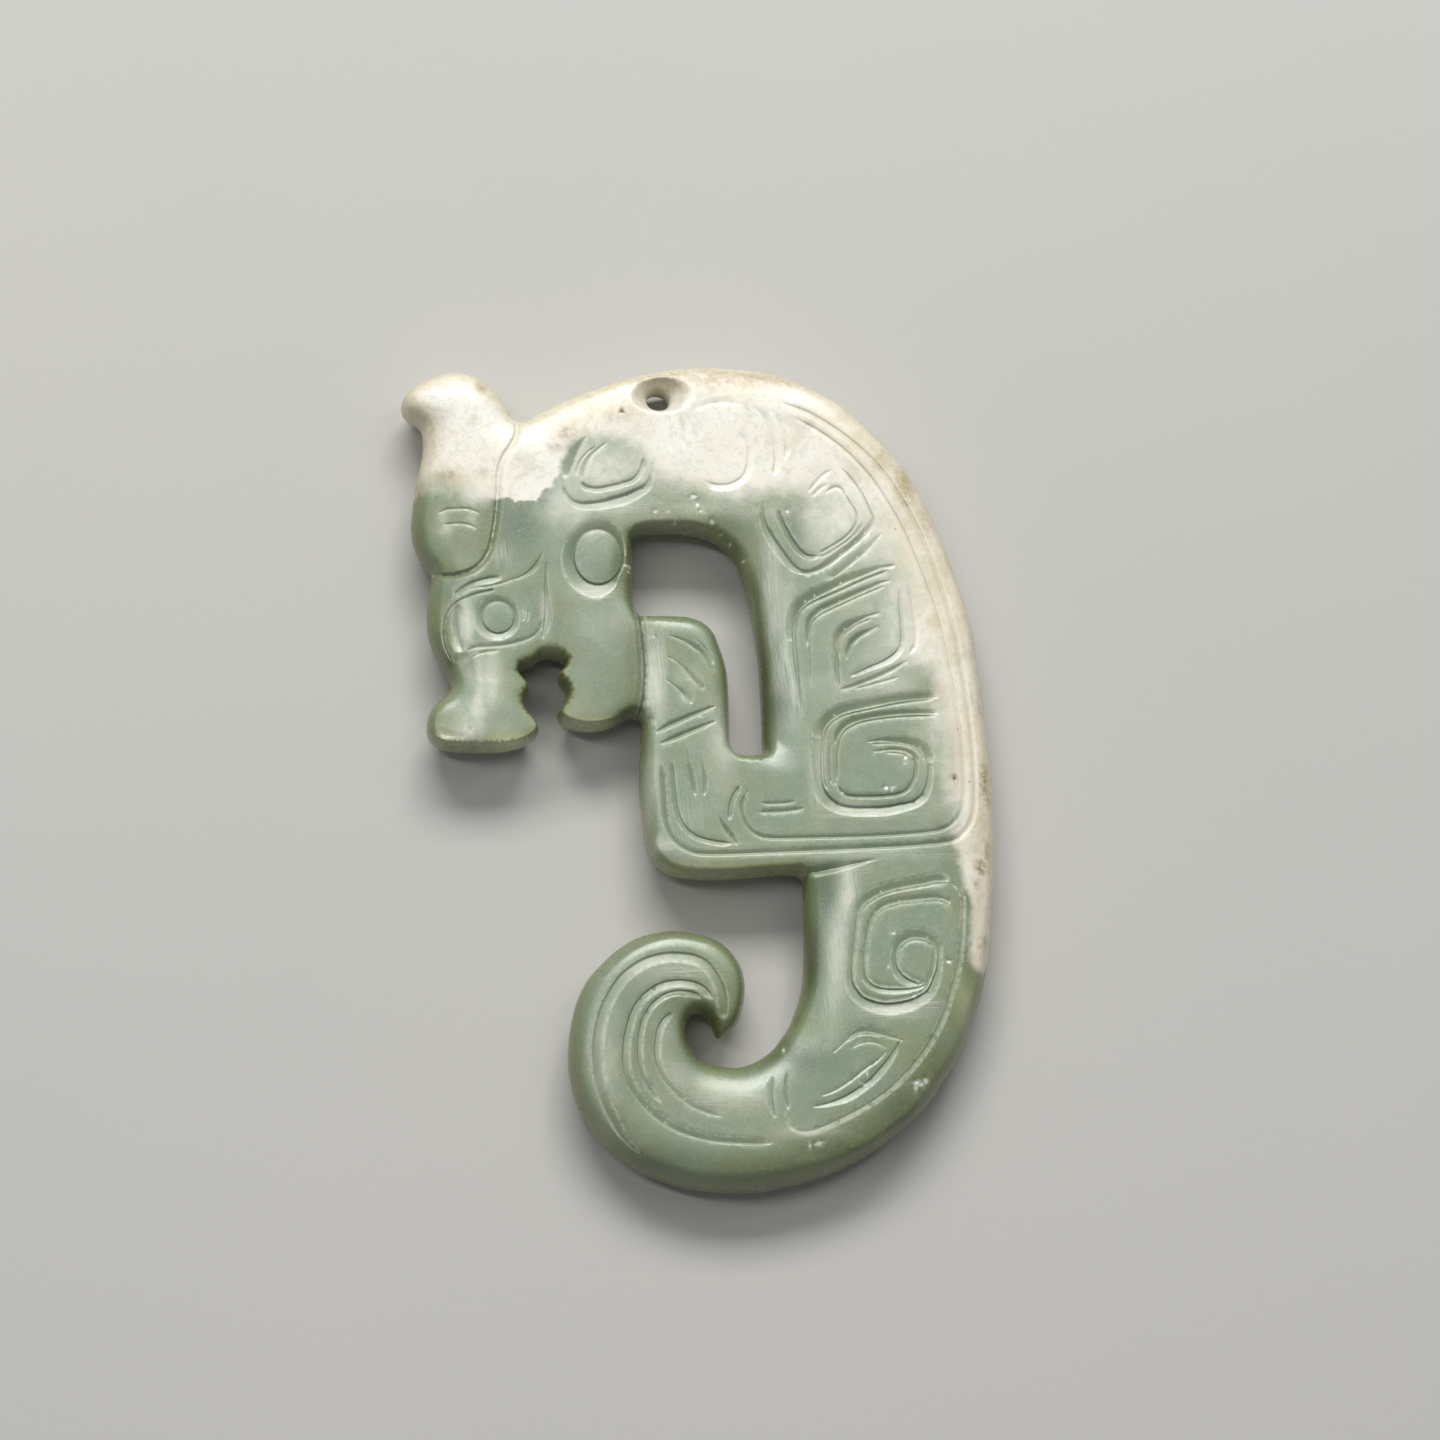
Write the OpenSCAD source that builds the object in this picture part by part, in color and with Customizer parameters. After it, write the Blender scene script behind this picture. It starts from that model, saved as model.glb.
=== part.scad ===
// Carved jade pendant: a crouching dragon in the round-backed, curled-tail form.
// One piece of stone, carved on both faces, drilled through the crest of the back.
// It lies on its flat back face; +Z is the show face and +Y runs from the tail to the crest.
// Every limb is a row of cross-sections: each row gives the two edge points of the
// limb at mid thickness, and the sides round over between them.

/* [Size] */
// Height, from the tail's low point to the top of the crest
pendant_h = 62.8; // [45:0.1:90]
// Width, from the horn's tip to the outer curve of the back
pendant_w = 45; // [32:0.1:64]
// Thickness of the jade slab between its two faces
thickness = 5.6; // [4:0.1:9]

/* [Edges] */
// How far in from an edge the rounding starts, on the broad limbs
edge_run = 2.9; // [1.2:0.1:3.4]
// Width of the flat that is left on the narrow limbs
face_flat = 1.2; // [0.6:0.1:2]
// How far the rounding would rise above the polished faces that cut it flat
crown = 0.25; // [0.1:0.05:0.5]

/* [Suspension hole] */
// Radius of the drilled hole at its waist
hole_r = 0.85; // [0.6:0.05:1.2]
// Length of the parallel waist of the hole
hole_waist = 1.6; // [1:0.1:2.4]
// Radius of the countersunk mouth on each face
mouth_r = 2; // [1.6:0.1:2.4]
// Position of the hole from the pendant's middle, across
hole_x = -3.05; // [-3.6:0.05:-1.5]
// Position of the hole from the pendant's middle, upwards
hole_y = 28.5; // [26.5:0.05:28.6]

/* [Stone] */
// Colour of the jade
jade_color = "darkseagreen"; // [darkseagreen, olivedrab, honeydew, seagreen]

/* [Hidden] */

// The tables below are charted at this size; the finished solid takes the sizes above.
chart_t = 5.6;
// Middle of the charted outline
mid_x = -0.1;
mid_y = 0.51;

// Sides of each rounded edge, and steps between two rows of a table
edge_n = 8;
row_n = 2;

// Columns: left, upper or inner edge x, y; right, lower or outer edge x, y; half thickness
body_rows = [
    [-12.0, 16.0, -12.6, 27.5, 2.8],
    [-7.0, 17.0, -8.8, 29.65, 2.8],
    [-4.6, 18.85, -5.0, 31.0, 2.8],
    [-2.5, 19.15, -1.0, 31.8, 2.8],
    [-0.2, 19.0, 3.5, 31.8, 2.8],
    [1.6, 18.2, 7.5, 30.95, 2.8],
    [2.5, 17.1, 11.0, 29.1, 2.8],
    [3.15, 16.0, 14.0, 26.3, 2.8],
    [3.9, 13.4, 17.0, 22.3, 2.8],
    [4.4, 10.3, 19.0, 17.8, 2.8],
    [4.7, 7.0, 20.5, 13.3, 2.8],
    [4.85, 3.0, 21.5, 8.0, 2.8],
    [5.6, -0.8, 22.2, 1.0, 2.8],
    [7.2, -5.0, 22.4, -4.8, 2.8],
    [7.95, -9.0, 22.3, -8.5, 2.8],
    [7.95, -12.4, 22.0, -12.0, 2.8],
    [7.85, -15.2, 21.35, -15.6, 2.8],
    [7.2, -17.6, 19.95, -19.8, 2.8],
    [6.25, -19.4, 17.6, -23.7, 2.8],
    [4.85, -20.85, 14.4, -26.8, 2.8],
    [3.9, -21.35, 10.35, -29.2, 2.8],
    [2.8, -21.6, 5.05, -30.7, 2.8],
    [1.55, -21.5, 0.75, -30.75, 2.8],
    [0.6, -21.25, -3.0, -29.7, 2.8],
    [0.0, -20.9, -6.1, -28.05, 2.8],
    [-0.45, -20.35, -8.55, -24.95, 2.8],
    [-0.8, -19.65, -9.5, -21.1, 2.8],
    [-0.9, -18.85, -9.15, -17.95, 2.8],
    [-0.7, -18.1, -7.3, -14.2, 2.8],
    [-0.25, -17.7, -4.4, -12.0, 2.8],
    [0.1, -17.6, -1.2, -11.5, 2.8],
    [0.5, -17.8, 1.6, -12.3, 2.8],
    [0.8, -18.15, 3.15, -14.1, 2.8],
    [1.05, -18.6, 3.5, -16.4, 2.7],
    [1.3, -19.1, 2.9, -18.4, 2.2],
    [1.5, -19.42, 1.8, -19.4, 1.2],
];

head_rows = [
    [-13.6, 27.4, -9.0, 28.4, 2.8],
    [-14.5, 25.0, -7.5, 24.5, 2.8],
    [-17.0, 21.0, -6.0, 20.0, 2.8],
    [-19.6, 17.0, -4.95, 17.0, 2.8],
    [-20.15, 15.0, -4.85, 14.6, 2.8],
    [-20.4, 13.0, -4.75, 12.6, 2.8],
    [-20.4, 11.2, -4.45, 11.0, 2.8],
    [-20.1, 10.05, -4.3, 10.05, 2.8],
];

snout_rows = [
    [-20.45, 12.0, -11.7, 12.0, 2.8],
    [-20.15, 9.9, -11.9, 9.7, 2.8],
    [-19.75, 8.9, -12.6, 8.9, 2.8],
    [-19.2, 7.9, -13.45, 8.0, 2.8],
    [-18.7, 7.0, -12.95, 7.1, 2.8],
    [-18.6, 6.4, -12.75, 6.5, 2.8],
    [-19.3, 5.65, -13.05, 5.7, 2.8],
    [-20.0, 4.85, -12.95, 5.0, 2.8],
    [-20.35, 3.8, -12.4, 4.3, 2.8],
    [-20.25, 2.7, -12.0, 3.5, 2.8],
    [-19.7, 2.25, -12.4, 2.8, 2.7],
    [-18.8, 1.95, -13.8, 2.1, 2.3],
    [-17.4, 1.85, -15.0, 1.9, 1.6],
];

jaw_rows = [
    [-10.7, 12.0, -4.4, 12.0, 2.8],
    [-10.2, 9.4, -4.2, 9.5, 2.8],
    [-9.95, 8.6, -4.1, 8.4, 2.8],
    [-10.35, 7.8, -4.1, 7.6, 2.8],
    [-10.45, 7.1, -4.15, 6.9, 2.8],
    [-9.95, 6.4, -4.25, 6.0, 2.8],
    [-9.85, 5.7, -4.35, 5.3, 2.8],
    [-10.4, 4.95, -4.5, 4.7, 2.8],
    [-10.8, 4.6, -5.4, 4.45, 2.8],
    [-10.1, 4.25, -6.4, 4.1, 2.4],
    [-9.2, 3.95, -7.4, 3.9, 1.7],
];

horn_rows = [
    [-19.4, 30.4, -17.8, 30.45, 1.5],
    [-20.7, 29.95, -16.6, 30.05, 2.2],
    [-21.8, 29.35, -15.6, 29.4, 2.7],
    [-22.6, 28.4, -14.75, 28.4, 2.8],
    [-22.3, 27.3, -14.15, 27.5, 2.8],
    [-21.3, 26.6, -13.8, 26.6, 2.8],
    [-20.95, 25.4, -13.9, 25.0, 2.8],
    [-21.05, 23.8, -14.4, 23.4, 2.8],
    [-21.4, 22.0, -14.8, 21.5, 2.8],
    [-21.7, 19.6, -15.0, 19.2, 2.8],
    [-21.65, 18.0, -15.4, 17.4, 2.8],
    [-21.25, 16.8, -16.0, 16.2, 2.8],
    [-20.5, 15.7, -17.0, 15.3, 2.6],
];

arm_rows = [
    [12.0, 2.0, 12.0, -7.2, 2.8],
    [5.2, 1.85, 7.6, -7.1, 2.8],
    [3.5, 1.85, 4.0, -7.3, 2.8],
    [2.75, 2.1, 1.0, -7.5, 2.8],
    [2.45, 2.5, -1.25, -7.4, 2.8],
    [2.38, 2.95, -2.8, -6.8, 2.8],
    [2.35, 3.5, -3.75, -5.55, 2.8],
    [2.35, 4.2, -4.15, -3.4, 2.8],
    [2.35, 5.0, -4.4, -0.8, 2.8],
    [2.3, 6.2, -4.35, 1.6, 2.8],
    [2.2, 7.6, -4.3, 4.4, 2.8],
    [1.95, 9.1, -4.5, 7.4, 2.8],
    [1.6, 10.1, -4.7, 9.2, 2.8],
    [1.0, 11.1, -4.8, 10.7, 2.8],
    [0.0, 11.8, -4.8, 11.6, 2.6],
    [-1.4, 12.0, -4.6, 12.0, 2.0],
];

// A smooth curve through the rows of a table: row i, part u of the way to the next
function pick(t, i) = t[min(max(i, 0), len(t) - 1)];
function blend(a, b, c, d, u) =
    0.5 * (2 * b + (c - a) * u + (2 * a - 5 * b + 4 * c - d) * u * u + (3 * b - a - 3 * c + d) * u * u * u);
function smooth_rows(t, n) = [
    for (i = [0 : len(t) - 2]) for (k = [0 : n - 1])
        blend(pick(t, i - 1), t[i], t[i + 1], pick(t, i + 2), k / n),
    t[len(t) - 1]
];

// One cross-section: a slab with rounded edges, standing on the line between its edge points
function ring(r) =
    let (
        mx = (r[0] + r[2]) / 2, my = (r[1] + r[3]) / 2,
        dx = (r[2] - r[0]) / 2, dy = (r[3] - r[1]) / 2,
        w = norm([dx, dy]),
        run = min(edge_run, max(w - face_flat / 2, 0.7 * w)),
        rise = r[4] + crown
    )
    [for (s = [1, -1]) for (k = [0 : edge_n])
        let (
            a = -90 + 180 * k / edge_n,
            u = s * ((w - run) + run * cos(a)) / w,
            v = s * rise * sin(a)
        )
        [mx + dx * u, my + dy * u, chart_t / 2 + v]];

// A limb skinned over its cross-sections, closed by a flat at both ends
module limb(t) {
    rows = smooth_rows(t, row_n);
    m = 2 * (edge_n + 1);
    n = len(rows);
    pts = [for (r = rows) each ring(r)];
    sides = [
        for (i = [0 : n - 2]) for (k = [0 : m - 1])
            let (a = i * m + k, b = i * m + (k + 1) % m, c = a + m, d = b + m)
            each [[a, d, b], [a, c, d]]
    ];
    ends = [
        [for (k = [0 : m - 1]) k],
        [for (k = [m - 1 : -1 : 0]) (n - 1) * m + k]
    ];
    polyhedron(points = pts, faces = concat(sides, ends), convexity = 6);
}

// The limbs joined in one carved form, before its two faces are ground flat
module carved_form() {
    resize([pendant_w, pendant_h, 0], auto = false)
        scale([1, 1, thickness / chart_t])
        translate([-mid_x, -mid_y, 0]) {
            limb(body_rows);
            limb(head_rows);
            limb(snout_rows);
            limb(jaw_rows);
            limb(horn_rows);
            limb(arm_rows);
        }
}

// The drilled hole: a parallel waist and a countersunk mouth on each face
module suspension_hole() {
    mouth_h = (thickness - hole_waist) / 2;
    translate([hole_x, hole_y, 0]) {
        translate([0, 0, -1]) cylinder(h = thickness + 2, r = hole_r, $fn = 48);
        translate([0, 0, thickness / 2 + hole_waist / 2])
            cylinder(h = mouth_h * 1.5, r1 = hole_r, r2 = hole_r + (mouth_r - hole_r) * 1.5, $fn = 48);
        translate([0, 0, thickness / 2 - hole_waist / 2 - mouth_h * 1.5])
            cylinder(h = mouth_h * 1.5, r1 = hole_r + (mouth_r - hole_r) * 1.5, r2 = hole_r, $fn = 48);
    }
}

module pendant() {
    color(jade_color)
        difference() {
            intersection() {
                carved_form();
                translate([-pendant_w, -pendant_h, 0])
                    cube([2 * pendant_w, 2 * pendant_h, thickness]);
            }
            suspension_hole();
        }
}

pendant();
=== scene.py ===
import math

import bpy
import numpy as np
from mathutils import Matrix, Vector
from mathutils.geometry import delaunay_2d_cdt


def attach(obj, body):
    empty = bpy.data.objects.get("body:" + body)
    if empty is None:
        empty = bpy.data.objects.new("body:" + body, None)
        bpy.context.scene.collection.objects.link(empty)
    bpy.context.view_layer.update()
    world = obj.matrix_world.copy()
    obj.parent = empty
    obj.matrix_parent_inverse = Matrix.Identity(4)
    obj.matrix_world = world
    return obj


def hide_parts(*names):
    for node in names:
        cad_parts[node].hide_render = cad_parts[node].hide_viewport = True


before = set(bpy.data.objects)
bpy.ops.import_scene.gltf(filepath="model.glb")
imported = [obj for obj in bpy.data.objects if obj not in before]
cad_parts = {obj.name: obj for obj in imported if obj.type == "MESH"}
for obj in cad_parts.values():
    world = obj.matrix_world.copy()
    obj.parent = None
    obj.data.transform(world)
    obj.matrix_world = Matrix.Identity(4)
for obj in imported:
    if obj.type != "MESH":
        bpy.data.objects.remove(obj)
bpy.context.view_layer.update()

scene = bpy.context.scene

# ---------------------------------------------------------------------------------------------------------------
# The chart frame is in millimetres: X to the right and Y up in the photograph, Z from the back of the stone
# towards the viewer, with the back at 0 and the face at 5.6. The part's own frame has its origin elsewhere.
# ---------------------------------------------------------------------------------------------------------------
THICK = 5.6
MID = THICK / 2
SHIFT = np.array((0.1, -0.51, 0.0))
PX = 0.0752                      # mm that one pixel of the 1440 x 1440 frame covers at the stone
SIDE = 1440.0
LENS, SENSOR = 100.0, 36.0
TURN, TILT = 6.0, 11.0           # the viewer stands this many degrees left of and below the face's normal


def unit(v):
    v = np.array(v, float)
    return v / np.linalg.norm(v)


TO_VIEWER = unit((-math.tan(math.radians(TURN)), -math.tan(math.radians(TILT)), 1.0))
AIM = np.array((1.70, 4.60, 2.8))
EYE = AIM + TO_VIEWER * (PX * SIDE * LENS / SENSOR)
FWD = -TO_VIEWER
RIGHT = unit(np.cross(FWD, (0, 1, 0)))
UP = np.cross(RIGHT, FWD)
FOCAL = SIDE * LENS / SENSOR


def to_mm(px, py, z=5.4):
    """Where the line of sight through a pixel of the photograph meets the plane z, in chart millimetres."""
    ray = FWD + RIGHT * ((px - SIDE / 2) / FOCAL) - UP * ((py - SIDE / 2) / FOCAL)
    p = EYE + ray * ((z - EYE[2]) / ray[2])
    return p[0], p[1]


def placed(p):
    """Chart millimetres to the part's frame in metres."""
    return (np.asarray(p, float) + SHIFT) / 1000.0


camera_data = bpy.data.cameras.new("camera")
camera_data.lens = LENS
camera_data.sensor_width = SENSOR
camera_data.sensor_fit = "HORIZONTAL"
camera_data.clip_start = 0.01
camera_data.clip_end = 20.0
camera = bpy.data.objects.new("camera", camera_data)
scene.collection.objects.link(camera)
m = Matrix.Identity(4)
eye = placed(EYE)
for row in range(3):
    m[row][0], m[row][1], m[row][2], m[row][3] = RIGHT[row], UP[row], -FWD[row], eye[row]
camera.matrix_world = m
scene.camera = camera

# ---------------------------------------------------------------------------------------------------------------
# Charts of the carving
# ---------------------------------------------------------------------------------------------------------------

# The edge of the stone at mid thickness, in mm, anticlockwise from the horn's notch
EDGE = [(-13.75, 27.2), (-14.15, 27.5), (-14.5, 28.1), (-15.1, 29.0), (-15.6, 29.6), (-16.2, 30.1), (-17.0, 30.6),
    (-18.2, 30.88), (-19.3, 30.78), (-20.25, 30.48), (-21.2, 30.0), (-22.1, 29.3), (-22.52, 28.6), (-22.55, 27.85), (-22.35, 27.4),
    (-22.05, 27.1), (-21.45, 26.75), (-21.05, 26.3), (-20.92, 25.6), (-20.9, 24.8), (-21.0, 24.0), (-21.15, 23.2),
    (-21.35, 22.25), (-21.5, 21.15), (-21.65, 19.9), (-21.7, 18.95), (-21.6, 17.85), (-21.3, 16.9), (-20.85, 16.05),
    (-20.35, 15.45), (-20.15, 15.05), (-20.15, 14.5), (-20.3, 13.6), (-20.38, 12.7), (-20.4, 11.75), (-20.35, 10.8), (-20.15, 9.95),
    (-19.85, 9.15), (-19.5, 8.45), (-19.15, 7.85), (-18.8, 7.25), (-18.62, 6.8), (-18.65, 6.35), (-19.0, 5.95), (-19.45, 5.5),
    (-19.9, 5.0), (-20.2, 4.35), (-20.32, 3.6), (-20.25, 2.9), (-19.95, 2.4), (-19.45, 2.05), (-18.8, 1.85), (-17.6, 1.75),
    (-16.2, 1.75), (-14.9, 1.83), (-14.0, 1.98), (-13.1, 2.25), (-12.5, 2.6), (-12.1, 3.0), (-11.95, 3.4), (-12.05, 3.8), (-12.4, 4.3),
    (-12.8, 4.75), (-13.05, 5.2), (-13.1, 5.6), (-12.95, 6.0), (-12.75, 6.35), (-12.75, 6.7), (-12.95, 7.05), (-13.25, 7.4),
    (-13.48, 7.65), (-13.45, 7.9), (-13.2, 8.12), (-12.8, 8.28), (-12.4, 8.48), (-12.1, 8.78), (-11.8, 8.96), (-11.4, 9.02), (-10.95, 9.0),
    (-10.45, 8.86), (-10.18, 8.64), (-10.08, 8.4), (-10.18, 8.12), (-10.45, 7.86), (-10.6, 7.5), (-10.45, 7.1), (-10.15, 6.7), (-9.95, 6.3),
    (-9.95, 5.85), (-10.15, 5.4), (-10.42, 4.98), (-10.6, 4.6), (-10.48, 4.22), (-10.05, 3.88), (-9.4, 3.64), (-8.6, 3.52), (-7.8, 3.54),
    (-7.0, 3.68), (-6.3, 3.95), (-5.7, 4.3), (-5.3, 4.5), (-4.85, 4.55), (-4.4, 4.45), (-4.25, 4.0), (-4.25, 3.2),
    (-4.35, 1.45), (-4.42, 0.2), (-4.38, -1.2), (-4.22, -2.45), (-4.08, -3.7), (-3.98, -4.8), (-3.75, -5.6), (-3.35, -6.3),
    (-2.8, -6.85), (-2.2, -7.2), (-1.25, -7.45), (0.0, -7.55), (1.4, -7.55), (2.8, -7.5), (4.05, -7.35), (5.45, -7.2), (7.0, -7.15),
    (7.65, -7.3), (7.85, -7.8), (7.95, -9.5), (7.97, -11.2), (7.95, -13.0), (7.85, -15.2), (7.6, -16.5), (7.2, -17.6), (6.85, -18.5),
    (6.25, -19.4), (5.65, -20.2), (4.85, -20.85), (3.9, -21.35), (2.8, -21.6), (1.55, -21.5), (0.6, -21.25), (0.0, -20.9),
    (-0.45, -20.35), (-0.8, -19.65), (-0.9, -18.85), (-0.7, -18.1), (-0.25, -17.7), (0.3, -17.7), (0.75, -18.1), (1.1, -18.65),
    (1.35, -19.25), (1.55, -19.5), (2.05, -19.25), (2.6, -18.85), (3.05, -18.2), (3.3, -17.5), (3.5, -16.4), (3.5, -15.3), (3.3, -14.35),
    (2.9, -13.6), (2.35, -12.9), (1.6, -12.3), (0.6, -11.85), (-0.65, -11.6), (-1.9, -11.5), (-3.15, -11.65), (-4.4, -12.0),
    (-5.5, -12.6), (-6.4, -13.3), (-7.3, -14.2), (-8.15, -15.2), (-8.85, -16.55), (-9.25, -17.95), (-9.5, -19.5), (-9.58, -21.1),
    (-9.45, -22.45), (-9.1, -23.9), (-8.65, -24.95), (-8.0, -26.05), (-7.15, -27.2), (-6.2, -28.05), (-5.1, -28.9), (-4.05, -29.5),
    (-2.1, -30.2), (-0.85, -30.55), (0.75, -30.75), (3.2, -30.85), (5.05, -30.7), (7.2, -30.25), (8.8, -29.8), (10.35, -29.2),
    (11.75, -28.5), (13.15, -27.7), (14.4, -26.8), (15.55, -25.95), (16.65, -24.85), (17.6, -23.7), (18.35, -22.55), (19.15, -21.35),
    (19.95, -19.8), (20.55, -18.2), (21.05, -16.8), (21.4, -15.55), (21.7, -14.0), (21.95, -12.4), (22.05, -10.85), (22.2, -9.3),
    (22.34, -7.65), (22.38, -6.2), (22.38, -3.35), (22.34, -1.95), (22.3, -0.5), (22.2, 0.95), (22.05, 2.35), (21.95, 3.65), (21.8, 4.95),
    (21.65, 6.25), (21.5, 7.5), (21.3, 8.8), (21.15, 9.95), (21.0, 11.2), (20.75, 12.3), (20.5, 13.3), (20.0, 15.0), (19.5, 16.4),
    (19.0, 17.8), (18.5, 19.1), (18.0, 20.3), (17.5, 21.35), (17.0, 22.3), (16.5, 23.15), (16.0, 23.95), (15.0, 25.2), (14.0, 26.3),
    (13.0, 27.35), (12.0, 28.3), (11.0, 29.05), (10.0, 29.7), (9.0, 30.2), (8.0, 30.7), (7.0, 31.1), (5.0, 31.6), (2.5, 31.8),
    (0.0, 31.8), (-2.0, 31.6), (-3.85, 31.25), (-5.05, 30.95), (-6.15, 30.6), (-7.55, 30.05), (-8.8, 29.6), (-9.9, 29.1),
    (-10.95, 28.55), (-12.05, 27.95), (-12.95, 27.4), (-13.45, 27.15)]
WINDOW = [(-5.0, 18.2), (-4.75, 18.5), (-4.2, 18.72), (-3.4, 18.84), (-2.4, 18.9), (-1.2, 18.9), (-0.2, 18.77), (0.7, 18.5), (1.6, 18.0),
    (2.5, 17.25), (3.1, 16.2), (3.5, 15.0), (3.9, 13.4), (4.15, 11.9), (4.4, 10.3), (4.6, 8.8), (4.7, 7.0), (4.8, 5.0), (4.85, 3.0),
    (4.9, 2.3), (4.75, 1.95), (4.3, 1.85), (3.2, 1.85), (2.85, 1.95), (2.55, 2.25), (2.4, 2.7), (2.35, 3.5), (2.35, 5.0), (2.3, 6.5),
    (2.2, 8.0), (1.95, 9.1), (1.6, 10.1), (1.2, 11.1), (0.5, 11.85), (-0.45, 12.25), (-1.5, 12.38), (-4.2, 12.38), (-4.5, 12.5),
    (-4.75, 12.8), (-4.92, 13.4), (-4.95, 14.2), (-4.9, 15.2), (-4.95, 16.2), (-5.0, 17.2), (-5.05, 18.0)]

# The carved lines, in the photograph's pixels: each row is a run of points along a line's deep edge,
# the side and width (px) of its sloping flank, its depth (mm), the distance (px) and depth of the thin
# line that runs beside it on the other side, the length (px) over which each end fades out, the width (px)
# of the steep side, the share of the depth that is left from there to the stone's edge, and the curve of the
# flank (1 is straight; more runs out softly).
LINES = {}
def line(name, flank, depth, pts, beside=0, beside_depth=0.0, fade=(6, 6), steep=1.3, step=0.0, curve=1.06):
    LINES[name] = dict(pts=pts, flank=flank, depth=depth, beside=beside, beside_depth=beside_depth, fade=fade, steep=steep, step=step, curve=curve)
# flank > 0: the sloping flank lies to the left of the direction of travel (picture, y down: left of travel).
# A third number at a point is the flank's width (px) there.

# cloud a
line("a_out", 10, 0.26, [(652, 470, 2), (650, 478, 4), (645, 486, 7), (635, 491, 9), (625, 495, 10), (615, 498, 10), (605, 501, 9), (595, 503, 8), (585, 504, 7), (577, 503, 6), (571, 500, 5), (566, 494, 4), (562, 487, 2)], steep=3.2, fade=(10, 5))
line("a_in", 5, 0.17, [(643, 456), (642, 464), (639, 472), (633, 479), (622, 483), (610, 486), (600, 488), (592, 488), (585, 486), (581, 481)], steep=2.0, fade=(8, 5))
line("a_up1", -9, 0.26, [(586, 437, 1), (580, 445, 5), (575.5, 454, 8), (572, 462, 9), (569, 470, 8), (566, 477, 6)], fade=(2, 3))
line("a_up2", -2, 0.10, [(599, 445), (590, 451), (583, 458), (578, 466), (576, 476)], steep=1.5, fade=(10, 5))
line("a_up3", -5, 0.18, [(608, 442, 1), (597, 450, 3), (589, 458, 5), (585, 466, 5), (582.5, 475, 4), (582, 481, 2)], fade=(6, 4))
# cloud b, worn faint
line("b_out", 7, 0.13, [(752, 407), (763, 417), (770, 430), (774, 446), (775, 462), (772, 478)], fade=(20, 10), steep=2)
line("b_out2", 6, 0.11, [(768, 408), (777, 419), (783, 431), (786, 446), (784, 462)], fade=(18, 12), steep=2)
line("b_in", 7, 0.10, [(738, 434), (745, 441), (748, 452), (747, 466), (742, 477), (731, 484), (716, 485), (702, 480)], fade=(8, 14), steep=2)
line("b_l1", -5, 0.08, [(667, 408), (669, 425), (671, 442), (671, 456)], fade=(12, 14), steep=2)
line("b_l2", -5, 0.08, [(680, 412), (683, 430), (684, 452)], fade=(12, 14), steep=2)
line("b_top", 6, 0.07, [(694, 411), (710, 404), (727, 403), (742, 406)], fade=(12, 12), steep=2)
# cloud c
line("c_out", -6, 0.25, [(838, 468, 2), (846, 473, 3), (853, 481, 4), (860, 491, 4), (866, 502, 4), (871, 513, 4), (873, 520, 4), (870, 528, 5), (862, 537, 6), (852, 546, 6), (843, 553, 6), (833, 561, 6), (824, 567, 5), (815, 571, 4), (805, 573, 3.5), (797, 569, 3), (790, 562, 3), (782, 551, 3), (775, 541, 3), (768, 530, 3), (764, 520, 2.5), (762, 510, 2), (763, 501, 2)], fade=(16, 10))
line("c_outl", -9, 0.18, [(763, 504, 3), (764, 518, 6), (768, 530, 8), (775, 541, 9), (782, 551, 9), (790, 562, 8), (797, 569, 6), (806, 574, 2)], fade=(8, 4), steep=1.0)
line("c_up", 3, 0.09, [(807, 494), (815, 484), (824, 475), (833, 470)], fade=(8, 8), steep=2)
line("c_up2", 3, 0.07, [(811, 498), (820, 489), (829, 484)], fade=(6, 8), steep=2)
line("c_in", -2.5, 0.14, [(824, 495), (830, 489), (836, 487), (841, 489), (845, 495), (850, 503), (855, 511), (857, 519), (855, 526), (851, 532), (845, 538), (838, 543), (828, 549), (818, 554)], fade=(10, 6), steep=1.3)
line("c_in2", -4, 0.12, [(863, 520, 2), (861, 527, 3), (856, 534, 4), (848, 541, 4), (838, 548, 4), (828, 554, 4), (818, 558, 3)], fade=(10, 6), steep=1.3)
line("c_inl", -6, 0.20, [(778, 508, 3), (781, 519, 5), (786, 529, 5.5), (793, 541, 6), (801, 551, 6), (809, 556, 5), (820, 556, 3)], fade=(6, 8), steep=2.0)
line("c_under", -6, 0.15, [(882, 533, 2), (866, 551, 6), (850, 564, 7), (838, 574, 7), (824, 583, 5)], fade=(6, 14))
# cloud d
line("d1", -10, 0.28, [(895, 565, 0.6), (880, 568.5, 3.5), (868, 573, 5.5), (856, 578, 7), (843, 583, 8), (830, 589.5, 9), (818, 595.5, 10), (808, 601, 10.5), (800, 608, 10.5), (795, 616, 9.5), (792.5, 625, 8), (792, 634, 7.5), (792.5, 646, 6)], fade=(1, 9))
line("d1_b", -1.6, 0.13, [(889, 570.5), (875, 575.5), (858, 582.5), (843, 589.5), (828, 596), (812, 603), (804, 608.5), (798.5, 615.5), (795.5, 625), (795, 640), (796.5, 660), (798.5, 680), (799.5, 700), (800, 716)], steep=1.6, fade=(8, 22))
line("d1_l", -8, 0.15, [(792.3, 628, 7), (792.5, 640, 7), (793.5, 655, 7), (796, 675, 6), (798, 695, 4), (799, 712, 2)], fade=(9, 14), steep=1.3)
line("d2", -5, 0.22, [(891, 580.5, 0.6), (880, 583.5, 2.6), (868, 589, 4), (855, 594.5, 5), (842, 600.5, 5.5), (830, 606, 5.5), (820, 611, 5.5), (812, 618, 5.5), (808.5, 626, 5), (807.5, 636, 3.5), (807.5, 648, 1.5)], fade=(1, 8))
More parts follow.
